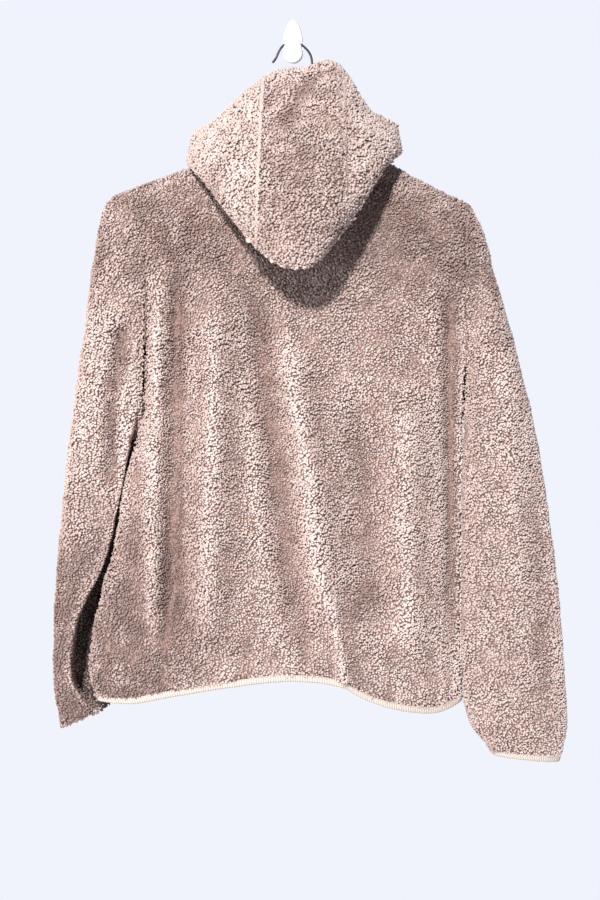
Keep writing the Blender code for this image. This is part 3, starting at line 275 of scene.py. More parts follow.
# Folds as straight soft ridges (height > 0) and valleys (height < 0) of the near cloth,
# from one point of the back to another; reach is half their width.
FOLD_NAMES = "top_x top_z low_x low_z height reach"
BACK_FOLDS = table(
    FOLD_NAMES,
    (-0.172, -0.270, -0.170, -0.800, 0.0070, 0.016),
    (-0.092, -0.300, -0.106, -0.800, 0.0080, 0.020),
    (-0.010, -0.370, 0.048, -0.770, 0.0090, 0.022),
    (0.142, -0.430, 0.144, -0.800, 0.0070, 0.022),
    (-0.140, -0.270, -0.152, -0.790, -0.0080, 0.014),
    (-0.050, -0.300, 0.012, -0.800, -0.0090, 0.018),
    (0.082, -0.450, 0.094, -0.760, -0.0060, 0.022),
    (0.196, -0.280, 0.204, -0.800, -0.0090, 0.012),
    (0.046, -0.700, 0.066, -0.830, 0.0060, 0.009),
)
SLEEVE_FOLDS = table(
    FOLD_NAMES,
    (-0.208, -0.370, -0.224, -0.470, -0.0130, 0.010),
    (-0.224, -0.450, -0.228, -0.590, -0.0110, 0.010),
    (0.262, -0.380, 0.272, -0.640, 0.0060, 0.016),
    (0.300, -0.560, 0.312, -0.860, -0.0060, 0.016),
)
# Sleeves from the armhole to the cuff: the outer (upper arm) edge, the inner (under arm)
# edge, half the thickness towards the viewer and towards the wall, the share of the width
# at which the near cloth is tucked in behind the body, and how much it is tucked. The inner
# edges lie up to 8 mm closer to the body than in the solids, because the pile meets there.
SLEEVE_NAMES = "w out_x out_y out_z in_x in_y in_z near far tuck tucked"
SLEEVE_LEFT = table(
    SLEEVE_NAMES,
    (0.00, -0.2130, -0.046, -0.2060, -0.1900, -0.051, -0.4870, 0.026, 0.020, 0.84, 0.00),
    (0.05, -0.2350, -0.047, -0.2190, -0.1885, -0.051, -0.4935, 0.030, 0.022, 0.84, 0.00),
    (0.13, -0.2480, -0.048, -0.2720, -0.1905, -0.046, -0.5040, 0.036, 0.025, 0.84, 0.00),
    (0.25, -0.2600, -0.050, -0.3560, -0.1945, -0.036, -0.5240, 0.038, 0.025, 0.82, 0.40),
    (0.38, -0.2720, -0.052, -0.4450, -0.1990, -0.029, -0.5600, 0.036, 0.022, 0.77, 1.00),
    (0.52, -0.2835, -0.055, -0.5450, -0.2090, -0.025, -0.6150, 0.034, 0.020, 0.72, 1.00),
    (0.66, -0.2920, -0.063, -0.6500, -0.2180, -0.026, -0.6850, 0.028, 0.019, 0.60, 1.00),
    (0.80, -0.2970, -0.069, -0.7560, -0.2240, -0.026, -0.7620, 0.022, 0.018, 0.22, 1.00),
    (0.92, -0.2960, -0.071, -0.8340, -0.2260, -0.024, -0.8200, 0.018, 0.015, 0.24, 0.90),
    (1.00, -0.2880, -0.069, -0.8700, -0.2320, -0.026, -0.8460, 0.013, 0.012, 0.50, 0.00),
)
SLEEVE_RIGHT = table(
    SLEEVE_NAMES,
    (0.00, 0.2235, -0.046, -0.2220, 0.2165, -0.047, -0.4990, 0.028, 0.022, 0.50, 0.00),
    (0.05, 0.2380, -0.048, -0.2480, 0.2165, -0.050, -0.5040, 0.032, 0.024, 0.50, 0.00),
    (0.13, 0.2480, -0.050, -0.2920, 0.2165, -0.054, -0.5140, 0.038, 0.029, 0.50, 0.00),
    (0.25, 0.2700, -0.054, -0.3760, 0.2145, -0.058, -0.5380, 0.040, 0.033, 0.50, 0.00),
    (0.38, 0.2950, -0.056, -0.4720, 0.2130, -0.060, -0.5800, 0.039, 0.034, 0.50, 0.00),
    (0.52, 0.3150, -0.057, -0.5760, 0.2128, -0.060, -0.6400, 0.037, 0.033, 0.50, 0.00),
    (0.66, 0.3300, -0.057, -0.6850, 0.2126, -0.060, -0.7150, 0.034, 0.030, 0.50, 0.00),
    (0.80, 0.3390, -0.056, -0.7900, 0.2120, -0.060, -0.7960, 0.029, 0.026, 0.50, 0.00),
    (0.93, 0.3440, -0.054, -0.8850, 0.2230, -0.057, -0.8760, 0.022, 0.020, 0.50, 0.00),
    (1.00, 0.3370, -0.053, -0.9190, 0.2480, -0.056, -0.9120, 0.015, 0.014, 0.50, 0.00),
)
TUCK_START = 0.50  # the fold's place round the near side, from outer to inner edge
TUCK_END = 0.67
TUCK_WIDTH = 0.07  # share of the sleeve's width over which the cloth turns in
TUCK_PUSH = 0.90  # of the way back to the inner edge's own depth
TUCK_FLATNESS = 0.70  # of the near thickness that the tucked cloth loses
ARMHOLE_BLEND = 0.34  # share of the sleeve over which it leaves the armhole's own curve
SLEEVE_SQUARE = 0.80  # below 1 gives the flattened tube fuller sides

# Hood, round the neckline from the zip's left edge (0) over the nape (0.5) to its right
# edge (1). Low: the layer lying on the shoulders and back, and the outer fold. Top: the top
# ridge and the front edge, how far the hood rises from the neckline before it turns over,
# and how far its outer face swells between fold and ridge.
HOOD_LOW = table(
    "u lay_x lay_y lay_z fold_x fold_y fold_z",
    (0.000, -0.0040, -0.0195, -0.2250, -0.0055, -0.0190, -0.2185),
    (0.070, -0.0335, -0.0230, -0.2105, -0.0360, -0.0215, -0.2010),
    (0.140, -0.0560, -0.0281, -0.1869, -0.0565, -0.0240, -0.1740),
    (0.195, -0.0853, -0.0313, -0.1694, -0.0875, -0.0244, -0.1513),
    (0.250, -0.1023, -0.0480, -0.1576, -0.1324, -0.0595, -0.1676),
    (0.310, -0.0880, -0.0820, -0.1760, -0.1080, -0.1120, -0.2140),
    (0.375, -0.0580, -0.1060, -0.2240, -0.0530, -0.1430, -0.2900),
    (0.500, 0.0110, -0.1130, -0.2460, 0.0115, -0.1580, -0.3300),
    (0.625, 0.0680, -0.1090, -0.2220, 0.0640, -0.1430, -0.2760),
    (0.695, 0.0980, -0.0820, -0.1700, 0.1130, -0.1100, -0.1960),
    (0.750, 0.1140, -0.0500, -0.1540, 0.1365, -0.0570, -0.1580),
    (0.805, 0.0870, -0.0330, -0.1680, 0.0940, -0.0260, -0.1520),
    (0.860, 0.0640, -0.0285, -0.1890, 0.0670, -0.0255, -0.1770),
    (0.930, 0.0445, -0.0230, -0.2100, 0.0460, -0.0215, -0.2010),
    (1.000, 0.0225, -0.0195, -0.2250, 0.0240, -0.0190, -0.2185),
)
HOOD_TOP = table(
    "u ridge_x ridge_y ridge_z brim_x brim_y brim_z rise swell",
    (0.000, -0.0065, -0.0185, -0.2120, -0.0080, -0.0180, -0.2060, 0.0010, 0.000),
    (0.070, -0.0380, -0.0210, -0.1920, -0.0400, -0.0205, -0.1830, 0.0020, 0.000),
    (0.140, -0.0620, -0.0235, -0.1680, -0.0620, -0.0220, -0.1570, 0.0039, 0.000),
    (0.195, -0.0880, -0.0240, -0.1400, -0.0810, -0.0250, -0.1330, 0.0043, 0.000),
    (0.250, -0.1260, -0.0590, -0.1370, -0.0850, -0.0360, -0.1220, 0.0107, 0.001),
    (0.310, -0.0960, -0.0720, -0.1180, -0.0640, -0.0360, -0.1080, 0.0170, 0.020),
    (0.375, -0.0460, -0.0640, -0.0670, -0.0340, -0.0360, -0.0980, 0.0170, 0.036),
    (0.500, 0.0130, -0.0600, -0.0450, 0.0140, -0.0360, -0.0860, 0.0170, 0.044),
    (0.625, 0.0640, -0.0620, -0.0490, 0.0530, -0.0360, -0.0920, 0.0170, 0.036),
    (0.695, 0.0980, -0.0720, -0.1100, 0.0740, -0.0365, -0.1060, 0.0170, 0.020),
    (0.750, 0.1310, -0.0590, -0.1250, 0.0920, -0.0360, -0.1200, 0.0080, 0.001),
    (0.805, 0.0950, -0.0240, -0.1390, 0.0890, -0.0250, -0.1310, 0.0050, 0.000),
    (0.860, 0.0690, -0.0235, -0.1660, 0.0700, -0.0220, -0.1560, 0.0030, 0.000),
    (0.930, 0.0475, -0.0210, -0.1920, 0.0500, -0.0205, -0.1830, 0.0020, 0.000),
    (1.000, 0.0250, -0.0185, -0.2120, 0.0260, -0.0180, -0.2060, 0.0010, 0.000),
)
# Corners of the hood's section: between which two of its lines each lies, at which share of
# the way, and how much of the rise and of the swell is added.
HOOD_CORNERS = (
    ("neck", "lay", 0.00, 0.00, 0.00),
    ("neck", "lay", 0.00, 0.90, 0.00),
    ("neck", "lay", 0.28, 1.05, 0.00),
    ("lay", "fold", 0.00, 0.00, 0.00),
    ("lay", "fold", 0.62, 0.00, 0.10),
    ("fold", "ridge", 0.00, 0.00, 0.00),
    ("fold", "ridge", 0.15, 0.00, 0.85),
    ("fold", "ridge", 0.45, 0.00, 1.05),
    ("fold", "ridge", 0.78, 0.00, 0.60),
    ("ridge", "brim", 0.00, 0.00, 0.00),
    ("ridge", "brim", 0.45, 0.00, 0.00),
    ("ridge", "brim", 1.00, 0.00, 0.00),
)
# Soft creases of the near cloth that are too small for the solids, in the columns of its folds.
FINE_FOLDS = table(
    FOLD_NAMES,
    (-0.1500, -0.730, -0.1580, -0.835, -0.0030, 0.006),
    (-0.2050, -0.740, -0.2150, -0.835, 0.0030, 0.008),
    (-0.2280, -0.760, -0.2320, -0.835, -0.0030, 0.006),
    (-0.1280, -0.770, -0.1300, -0.830, 0.0025, 0.007),
    (-0.0520, -0.750, -0.0560, -0.825, -0.0035, 0.007),
    (-0.0740, -0.770, -0.0800, -0.825, 0.0025, 0.007),
    (0.0200, -0.740, 0.0120, -0.812, -0.0030, 0.006),
    (0.1180, -0.780, 0.1220, -0.850, -0.0030, 0.007),
    (0.1700, -0.770, 0.1760, -0.855, -0.0030, 0.007),
    (0.1960, -0.740, 0.2000, -0.855, -0.0035, 0.007),
    (-0.1750, -0.240, -0.1300, -0.330, -0.0025, 0.010),
    (0.1850, -0.260, 0.1500, -0.360, -0.0025, 0.010),
    (0.1650, -0.480, 0.1800, -0.620, -0.0025, 0.012),
    (-0.0900, -0.480, -0.0600, -0.580, -0.0020, 0.012),
)
HOOD_FOLDS = table(
    FOLD_NAMES,
    (0.036, -0.048, -0.018, -0.160, -0.0085, 0.012),
    (0.068, -0.070, 0.054, -0.200, 0.0050, 0.013),
)
# Section of a binding. Rib scales the height of its ribs and is also painted shade: lower on the band's
# inner side and where it meets the pile.
BAND_SECTION = table(
    "down     out      rib",
    (-0.0012, -0.0006, 0.35),
    (0.0004, 0.0001, 0.60),
    (0.0014, 0.0004, 0.90),
    (0.0034, 0.0006, 1.00),
    (0.0052, 0.0005, 1.00),
    (0.0066, 0.0001, 0.90),
    (0.0072, -0.0009, 0.70),
    (0.0066, -0.0020, 0.60),
    (0.0034, -0.0025, 0.50),
    (0.0006, -0.0024, 0.35),
    (-0.0010, -0.0019, 0.25),
)


# ---- curves and surfaces
def curve(keys, values, at):
    """Smooth curve through a table's points, with slopes taken from the neighbours."""
    at = np.clip(np.asarray(at, float), keys[0], keys[-1])
    slopes = np.gradient(values, keys)
    i = np.clip(np.searchsorted(keys, at, side="right") - 1, 0, len(keys) - 2)
    step = keys[i + 1] - keys[i]
    f = (at - keys[i]) / step
    start = (1 + 2 * f) * (1 - f) ** 2 * values[i] + f * (1 - f) ** 2 * step * slopes[i]
    end = f * f * (3 - 2 * f) * values[i + 1] + f * f * (f - 1) * step * slopes[i + 1]
    return start + end


def along(rows, key, name, at):
    """Column `name` of a table, read smoothly at values of its column `key`."""
    order = np.argsort(rows[key])
    return curve(rows[key][order], rows[name][order], at)


def vector_along(rows, key, name, at):
    """Three columns of a table as points."""
    return np.stack([along(rows, key, f"{name}_{axis}", at) for axis in "xyz"], axis=-1)


def smooth_step(value):
    value = np.clip(value, 0.0, 1.0)
    return value * value * (3 - 2 * value)


def unit(vectors):
    return vectors / np.maximum(np.linalg.norm(vectors, axis=-1, keepdims=True), 1e-12)


def spans(points, axis=0):
    """Distances from each row or column of points to the next."""
    return np.linalg.norm(np.diff(points, axis=axis), axis=-1)


def walked(points, axis=0):
    """Distance along the rows or columns of points from the first of them."""
    return np.cumsum(np.insert(spans(points, axis), 0, 0.0, axis=axis), axis=axis)


def folds(rows, x, z):
    """Height of all ridges and valleys of a fold table at points of the near cloth."""
    total = np.zeros(np.broadcast(x, z).shape)
    for top_x, top_z, low_x, low_z, height, reach in zip(*(rows[name] for name in FOLD_NAMES.split())):
        share = (z - top_z) / (low_z - top_z)
        offset = (x - top_x - (low_x - top_x) * share) / reach
        ends = smooth_step(share / FOLD_STARTS) * smooth_step((1 - share) / FOLD_ENDS)
        total = total + height * ends * np.exp(-offset * offset)
    return total


def torso(face, s, t):
    """Outer side of the back or front cloth; s runs left to right, t from top to hem."""
    s, t = np.broadcast_arrays(np.asarray(s, float), np.asarray(t, float))
    is_back = face == "back"
    neck = np.clip((s - NECK_LEFT) / (NECK_RIGHT - NECK_LEFT), 0.0, 1.0)
    arch = 1 - np.abs(2 * neck - 1) ** NECK_POWER
    drop = NAPE_DROP if is_back else THROAT_DROP
    top_z = np.interp(s, SHOULDER_LINE["s"], SHOULDER_LINE["z"]) - drop * arch
    top_y = SEAM_Y + (-NAPE_REACH if is_back else THROAT_REACH) * arch
    z = top_z + (along(HEM_LINE, "s", "z", s) - top_z) * t
    edges = (along(TORSO, "z", name, z) for name in ("left", "right", "left_y", "right_y"))
    left, right, left_y, right_y = edges
    x = left + (right - left) * s
    opening = np.sqrt(np.sin(math.pi * np.clip(t / ARMPIT, 0, 1)).clip(0))
    edge = left_y * (1 - s) + right_y * s + opening * (-ARMHOLE_NEAR if is_back else ARMHOLE_FAR)
    middle = along(TORSO, "z", "near" if is_back else "far", z)
    square = along(TORSO, "z", "square" if is_back else "far_square", z)
    bulge = np.clip(1 - np.abs(2 * s - 1) ** SIDE_POWER, 0, 1) ** (1 / square)
    y = edge + (middle - edge) * bulge
    if is_back:
        y = y - folds(BACK_FOLDS, x, z) * np.clip(bulge * 2, 0, 1)
    turn = np.clip(1 - t / SHOULDER_ROLL, 0, 1) ** ROLL_POWER
    y = top_y + (y - top_y) * (1 - turn) ** (1 / ROLL_POWER)
    return np.stack([x, y, z], axis=-1)


def armhole(side, a):
    """Armhole seam as a closed loop: a = 0 at the shoulder tip, 0.5 at the armpit."""
    a = np.asarray(a, float)
    s = np.full(a.shape, 0.0 if side == "left" else 1.0)
    t = ARMPIT * (1 - np.cos(2 * math.pi * a)) / 2
    return np.where((a <= 0.5)[..., None], torso("back", s, t), torso("front", s, t))


def angle_at(share):
    """Angle round the flattened tube at a share of its width."""
    return np.arccos(1 - 2 * share)


def sleeve_ring(rows, a, w):
    """Flattened tube between the sleeve's outer and inner edge, before it meets the armhole."""
    outer = vector_along(rows, "w", "out", w)
    across = vector_along(rows, "w", "in", w) - outer
    length = np.hypot(across[..., 0], across[..., 1])
    sign = np.sign(across[..., 0])
    near_way = np.stack([across[..., 1], -across[..., 0], 0 * length], -1) * (sign / length)[..., None]
    tuck, tucked = along(rows, "w", "tuck", w), along(rows, "w", "tucked", w)
    fold, end = angle_at(tuck), angle_at(tuck + TUCK_WIDTH)
    q = 2 * a
    to_fold = fold * q / TUCK_START
    in_fold = fold + (end - fold) * (q - TUCK_START) / (TUCK_END - TUCK_START)
    past_fold = end + (math.pi - end) * (q - TUCK_END) / (1 - TUCK_END)
    warped = np.where(q < TUCK_START, to_fold, np.where(q < TUCK_END, in_fold, past_fold))
    angle = math.pi * q
    angle = np.where(q < 1, angle + (warped - angle) * np.clip(2 * tucked, 0, 1), angle)
    share = (1 - np.cos(angle)) / 2
    lift = np.sign(np.sin(angle)) * np.abs(np.sin(angle)) ** SLEEVE_SQUARE
    turned_in = tucked * smooth_step((share - tuck) / TUCK_WIDTH)
    near = along(rows, "w", "near", w) * (1 - TUCK_FLATNESS * turned_in)
    depth = np.where(q < 1, near, along(rows, "w", "far", w)) * lift
    point = outer + across * share[..., None] + near_way * depth[..., None]
    point[..., 1] += TUCK_PUSH * turned_in * across[..., 1] * (1 - share)
    return point


def sleeve(side, a, w):
    """Outer side of a sleeve: a goes round it, w from the armhole to the cuff."""
    a, w = np.broadcast_arrays(np.asarray(a, float), np.asarray(w, float))
    rows = SLEEVE_LEFT if side == "left" else SLEEVE_RIGHT
    point = sleeve_ring(rows, a, w)
    at_armhole = armhole(side, a) - sleeve_ring(rows, a, 0 * w)
    point = point + at_armhole * (1 - smooth_step(w / ARMHOLE_BLEND))[..., None]
    near = np.clip(np.sin(2 * math.pi * a) * SLEEVE_FACE, 0, 1)
    point[..., 1] -= folds(SLEEVE_FOLDS, point[..., 0], point[..., 2]) * near
    return point


def neckline(u):
    """Seam between the hood and the body, from the zip's left edge round to its right."""
    u = np.asarray(u, float)
    front = 1 - np.clip(np.minimum(u, 1 - u) / NECK_SIDE, 0, 1)
    left = NECK_LEFT + (0.5 - ZIP_HALF_WIDTH - NECK_LEFT) * front
    right = NECK_RIGHT + (0.5 + ZIP_HALF_WIDTH - NECK_RIGHT) * front
    back = NECK_LEFT + (NECK_RIGHT - NECK_LEFT) * (u - NECK_SIDE) / (1 - 2 * NECK_SIDE)
    s = np.where(u < NECK_SIDE, left, np.where(u > 1 - NECK_SIDE, right, back))
    on_back = (u >= NECK_SIDE) & (u <= 1 - NECK_SIDE)
    return np.where(on_back[..., None], torso("back", s, 0 * s), torso("front", s, 0 * s))


def rounded(points, share):
    """Curve that starts and ends on a row of points and rounds every corner between them."""
    corners = len(points) - 2
    i = np.clip(np.floor(share * corners).astype(int), 0, corners - 1)
    f = (share * corners - i)[..., None]
    first, middle, last = (np.take_along_axis(points, (i + k)[None, ..., None], axis=0)[0] for k in range(3))
    start = np.where((i == 0)[..., None], first, (first + middle) / 2)
    end = np.where((i == corners - 1)[..., None], last, (middle + last) / 2)
    return start * (1 - f) ** 2 + middle * 2 * f * (1 - f) + end * f * f


def hood(u, v):
    """Outer side of the hood: u round the neckline, v from the neckline to the front edge."""
    u, v = np.broadcast_arrays(np.asarray(u, float), np.asarray(v, float))
    lines = {"neck": neckline(u)}
    for rows, name in ((HOOD_LOW, "lay"), (HOOD_LOW, "fold"), (HOOD_TOP, "ridge"), (HOOD_TOP, "brim")):
        lines[name] = vector_along(rows, "u", name, u)
    rise = along(HOOD_TOP, "u", "rise", u)[..., None] * np.array([0.0, 0.0, 1.0])
    swell = along(HOOD_TOP, "u", "swell", u)[..., None] * np.array([0.0, -1.0, 0.0])
    corners = [
        lines[first] + share * (lines[last] - lines[first]) + up * rise + out * swell
        for first, last, share, up, out in HOOD_CORNERS
    ]
    return rounded(np.stack(corners), v)


def lattice(cell, seed):
    """A repeatable number from -1 to 1 for each whole-numbered point."""
    number = cell[..., 0] * 73856093 ^ cell[..., 1] * 19349663 ^ cell[..., 2] * 83492791 ^ seed * 2654435761
    number = (number ^ (number >> 13)) * 1274126177 & 0xFFFFFFFF
    number = (number ^ (number >> 16)) * 2246822519 & 0xFFFFFFFF
    return ((number >> 7) & 0xFFFF) / 32767.5 - 1


def noise(points, size, seed):
    """Smooth noise from -1 to 1 whose bumps are about `size` metres across."""
    place = points / size
    cell = np.floor(place).astype(np.int64)
    f = smooth_step(place - cell)
    total = np.zeros(points.shape[:-1])
    for corner in range(8):
        step = np.array([corner & 1, corner >> 1 & 1, corner >> 2 & 1])
        weight = np.prod(np.where(step == 1, f, 1 - f), axis=-1)
        total = total + weight * lattice(cell + step, seed)
    return total


# ---- grids of points and meshes
def looped(grid, axis=1):
    """A grid whose first row or column comes again at its end."""
    return np.concatenate([grid, np.take(grid, [0], axis=axis)], axis=axis)


def numbered(shape, tube=False):
    """Vertex numbers of a grid of points; a tube's last column meets its first."""
    index = np.arange(shape[0] * shape[1]).reshape(shape[:2])
    return looped(index) if tube else index


def quads(index):
    """Faces between the neighbours in a grid of vertex numbers."""
    corners = [index[:-1, :-1], index[1:, :-1], index[1:, 1:], index[:-1, 1:]]
    return np.stack(corners, axis=-1).reshape(-1, 4)


def cell_normals(points, tube):
    """Normal of every cell of a grid, as long as the cell's area."""
    points = looped(points) if tube else points
    return np.cross(points[1:, :-1] - points[:-1, 1:], points[1:, 1:] - points[:-1, :-1]) / 2


def grid_normals(points, tube=False):
    """Unit normal at each point of a grid, facing out."""
    if tube:
        across = np.roll(points, -1, axis=1) - np.roll(points, 1, axis=1)
    else:
        across = np.gradient(points, axis=1)
    return unit(np.cross(np.gradient(points, axis=0), across))


def even_rows(points_at, count):
    """A grid of `count` steps down a surface, about equally far apart."""
    fine = np.linspace(0, 1, WALK_STEPS + 1)
    steps = spans(points_at(fine[:, None])).mean(axis=1)
    length = np.concatenate([[0.0], np.cumsum(steps)])
    return np.interp(np.linspace(0, length[-1], count + 1), length, fine)[:, None]


def even_shares(marks, cells):
    """Shares that pass through every mark, with even steps between two marks."""
    parts = [np.linspace(a, b, n + 1)[:-1] for a, b, n in zip(marks[:-1], marks[1:], cells)]
    return np.append(np.concatenate(parts), marks[-1])


def resampled(rows, pitch, closed):
    """Rows of points at an even pitch along the first of them."""
    if closed:
        rows = [looped(row, 0) for row in rows]
    length = walked(rows[0])
    count = max(8, int(round(length[-1] / pitch)))
    at = np.linspace(0, length[-1], count + 1)
    at = at[:-1] if closed else at
    return [np.stack([np.interp(at, length, row[:, k]) for k in range(3)], axis=-1) for row in rows]


def mesh_object(name, vertices, faces, materials, triangles=()):
    """Object from arrays of points, of quads and of triangles."""
    mesh = bpy.data.meshes.new(name)
    mesh.vertices.add(len(vertices))
    mesh.vertices.foreach_set("co", np.asarray(vertices, np.float32).ravel())
    loops = np.concatenate([np.ravel(faces), np.ravel(triangles)]).astype(np.int32)
    sizes = np.repeat([4, 3], [len(faces), len(triangles)])
    mesh.loops.add(len(loops))
    mesh.loops.foreach_set("vertex_index", loops)
    mesh.polygons.add(len(sizes))
    mesh.polygons.foreach_set("loop_start", (np.cumsum(sizes) - sizes).astype(np.int32))
    mesh.polygons.foreach_set("use_smooth", np.ones(len(sizes), bool))
    for material in materials:
        mesh.materials.append(material)
    mesh.update(calc_edges=True)
    mesh.validate()
    item = bpy.data.objects.new(name, mesh)
    bpy.context.scene.collection.objects.link(item)
    return item


def closed_wall(name, outer, inner, tube, materials):
    """Mesh of an outer grid, an inner grid and the rims between them."""
    index = numbered(outer.shape, tube)
    count = outer.shape[0] * outer.shape[1]
    if tube:
        rims = [index[0], index[-1, ::-1]]
    else:
        rims = [np.concatenate([index[0, :-1], index[:-1, -1], index[-1, :0:-1], index[::-1, 0]])]
    sheet = quads(index)
    edges = [quads(np.stack([rim, rim + count], axis=1)) for rim in rims]
    faces = np.concatenate([sheet, sheet[:, [0, 3, 2, 1]] + count] + edges)
    vertices = np.concatenate([outer.reshape(-1, 3), inner.reshape(-1, 3)])
    item = mesh_object(name, vertices, faces, materials)
    slots = np.zeros(len(faces), np.int32)
    slots[len(sheet):2 * len(sheet)] = len(materials) - 1
    item.data.polygons.foreach_set("material_index", slots)
    return item


def spindles(name, centres, width, height, material):
    """One mesh of closed four-sided spindles, pointed at both ends: a row of centres for
    each, with half its width and half its height at all of them but the ends."""
    count = len(centres)
    rings = centres[:, 1:-1, None] + np.stack([height, -width, -height, width], axis=2)
    vertices = np.concatenate([centres[:, :1], rings.reshape(count, -1, 3), centres[:, -1:]], axis=1)
    per = vertices.shape[1]
    sides = []
    ends = []
    for j in range(4):
        k = (j + 1) % 4
        sides += [(n + j, n + k, n + 4 + k, n + 4 + j) for n in range(1, per - 8, 4)]
        ends += [(0, 1 + k, 1 + j), (per - 5 + j, per - 5 + k, per - 1)]
    first = per * np.arange(count)[:, None]
    faces, triangles = (
        (first[:, :, None] + np.reshape(rows, (1, -1, size))).reshape(-1, size)
        for rows, size in ((sides, 4), (ends, 3))
    )
    return mesh_object(name, vertices.reshape(-1, 3), faces, [material], triangles)


def facing_out(item):
    """Turn the faces of a closed mesh outwards."""
    mesh_data = bmesh.new()
    mesh_data.from_mesh(item.data)
    bmesh.ops.recalc_face_normals(mesh_data, faces=mesh_data.faces)
    mesh_data.to_mesh(item.data)
    mesh_data.free()


def add_attribute(item, name, values):
    attribute = item.data.attributes.new(name, "FLOAT", "POINT")
    attribute.data.foreach_set("value", values.astype(np.float32))


# ---- the cloth and its pile
class Cloth:
    """One cut piece of pile fabric: the grid of points at the tips of its pile."""

    def __init__(self, node, points, tube=False, open_edges="low"):
        self.node = node
        self.tube = tube
        self.open_edges = open_edges
        self.points = points
        self.normals = grid_normals(points, tube)
        self.share = self.thickness_share()
        self.seam = self.seam_distance()
        self.relief = self.fold_relief()

    def thickness_share(self):
        """How much of the full thickness the solid has behind each point."""
        tree = BVHTree.FromObject(frame["nodes"][self.node], bpy.context.evaluated_depsgraph_get())
        share = np.ones(self.points.shape[:2])
        for place in np.ndindex(share.shape):
            inwards = Vector(-self.normals[place])
            front = tree.ray_cast(Vector(self.points[place]) - inwards * PROBE_LIFT, inwards, PROBE_REACH)[0]
            if front is None:
                continue
            depth = tree.ray_cast(front + inwards * PROBE_SKIP, inwards, PROBE_DEPTH)[3]
            if depth is not None:
                share[place] = (depth + PROBE_SKIP) / CLOTH
        return np.clip(share, LEAST_SHARE, 1.0)

    def seam_distance(self):
        """Distance along the cloth from every point to the nearest sewn edge."""
        down = walked(self.points)
        ways = [np.full(down.shape, 1.0)]
        if self.open_edges != "top":
            ways.append(down)
        if self.open_edges != "low":
            ways.append(down[-1] - down)
        if not self.tube:
            across = walked(self.points, 1)
            ways += [across, across[:, -1:] - across]
        return np.min(ways, axis=0)

    def fold_relief(self):
        """From -1 in a valley to 1 on a ridge, against the cloth a few centimetres around."""
        smooth = self.points
        for axis, mode in ((0, "edge"), (1, "wrap" if self.tube else "edge")):
            reach = max(1, int(round(RELIEF_REACH / np.median(spans(self.points, axis)))))
            wide = 2 * reach + 1
            smooth = np.swapaxes(smooth, 0, axis)
            for _ in range(2):
                sums = np.pad(smooth, ((reach, reach), (0, 0), (0, 0)), mode=mode)
                sums = np.cumsum(np.insert(sums, 0, 0.0, axis=0), axis=0)
                smooth = (sums[wide:] - sums[:-wide]) / wide
            smooth = np.swapaxes(smooth, 0, axis)
        height = np.sum((self.points - smooth) * self.normals, axis=-1) - EVEN_RELIEF
        return np.clip(height / RELIEF_HEIGHT, -1, 1)

    def at(self, grid, rows, columns):
        """Values of a grid at fractional rows and columns."""
        i = np.floor(rows).astype(int)
        j = np.floor(columns).astype(int)
        k = (j + 1) % grid.shape[1]
        f = rows - i
        g = columns - j
        if grid.ndim == 3:
            f = f[:, None]
            g = g[:, None]
        left = grid[i, j] * (1 - f) + grid[i + 1, j] * f
        right = grid[i, k] * (1 - f) + grid[i + 1, k] * f
        return left * (1 - g) + right * g

    def backing(self):
        """Closed thin wall of the fleece's knit backing."""
        coarse = (slice(None, None, GRID_STEP),) * 2
        points, normals = self.points[coarse], self.normals[coarse]
        share, seam = self.share[coarse][..., None], self.seam[coarse][..., None]
        groove = SEAM_GROOVE * np.exp(-(seam / SEAM_REACH) ** 2)
        outer = points - normals * (PILE_DEPTH * share + groove * share)
        inner = points - normals * (CLOTH * share)
        return closed_wall(self.node + "_cloth", outer, inner, self.tube, [PILE_BACKING, KNIT_BACK])


def tufts(name, place):
    """One mesh of leaning tufts, one for each row of `place`."""
    size = place["size"][:, None]
    centres = []
    for k, (out, lean, side) in enumerate(TUFT_SPINE):
        lift = out * place["share"] + place["lift"] * (k > 0)
        aside = side * size * place["curl"][:, None]
        centres.append(place["point"] + place["normal"] * lift[:, None]
                       + place["lean"] * (lean * size) + place["side"] * aside)
    ahead = unit(centres[2] - centres[0])
    width = unit(np.cross(ahead, place["normal"]))
    height = np.cross(width, ahead) * TUFT_FLATNESS
    radius = TUFT_RADIUS * size
    half_axes = ((way * radius)[:, None] for way in (width, height))
    item = spindles(name, np.stack(centres, axis=1), *half_axes, PILE)
    add_attribute(item, "tip", np.tile(TUFT_TIPS, len(size)))
    add_attribute(item, "tone", np.repeat(place["tone"], len(TUFT_TIPS)))
    return item


def scatter(cloth, rng):
    """Fractional rows and columns of tufts that keep their distance from each other."""
    normals = cell_normals(cloth.points, cloth.tube)
    area = np.linalg.norm(normals, axis=-1)
    near = normals[..., 1] < FACING_SHARE * area
    taken = {}
    kept = []
    for is_near, spacing in ((True, NEAR_SPACING), (False, FAR_SPACING)):
        weight = np.where(near == is_near, area, 0.0).ravel()
        total = weight.sum()
        if total == 0:
            continue
        count = int(total / spacing ** 2 * CANDIDATES)
        cells = np.searchsorted(np.cumsum(weight), rng.random(count) * total)
        cells = np.minimum(cells, len(weight) - 1)
        rows = cells // area.shape[1] + rng.random(count)
        columns = cells % area.shape[1] + rng.random(count)
        places = cloth.at(cloth.points, rows, columns)
        keys = np.floor(places / HASH_CELL).astype(int).tolist()
        least = spacing ** 2
        for n, (x, y, z) in enumerate(places.tolist()):
            a, b, c = keys[n]
            free = True
            for i, j, k in NEIGHBOURS:
                for px, py, pz in taken.get((a + i, b + j, c + k), ()):
                    if (px - x) ** 2 + (py - y) ** 2 + (pz - z) ** 2 < least:
                        free = False
                        break
                if not free:
                    break
            if free:
                taken.setdefault((a, b, c), []).append((x, y, z))
                kept.append((rows[n], columns[n], is_near))
    rows, columns, near = np.array(kept).T
    return rows, columns, near > 0.5


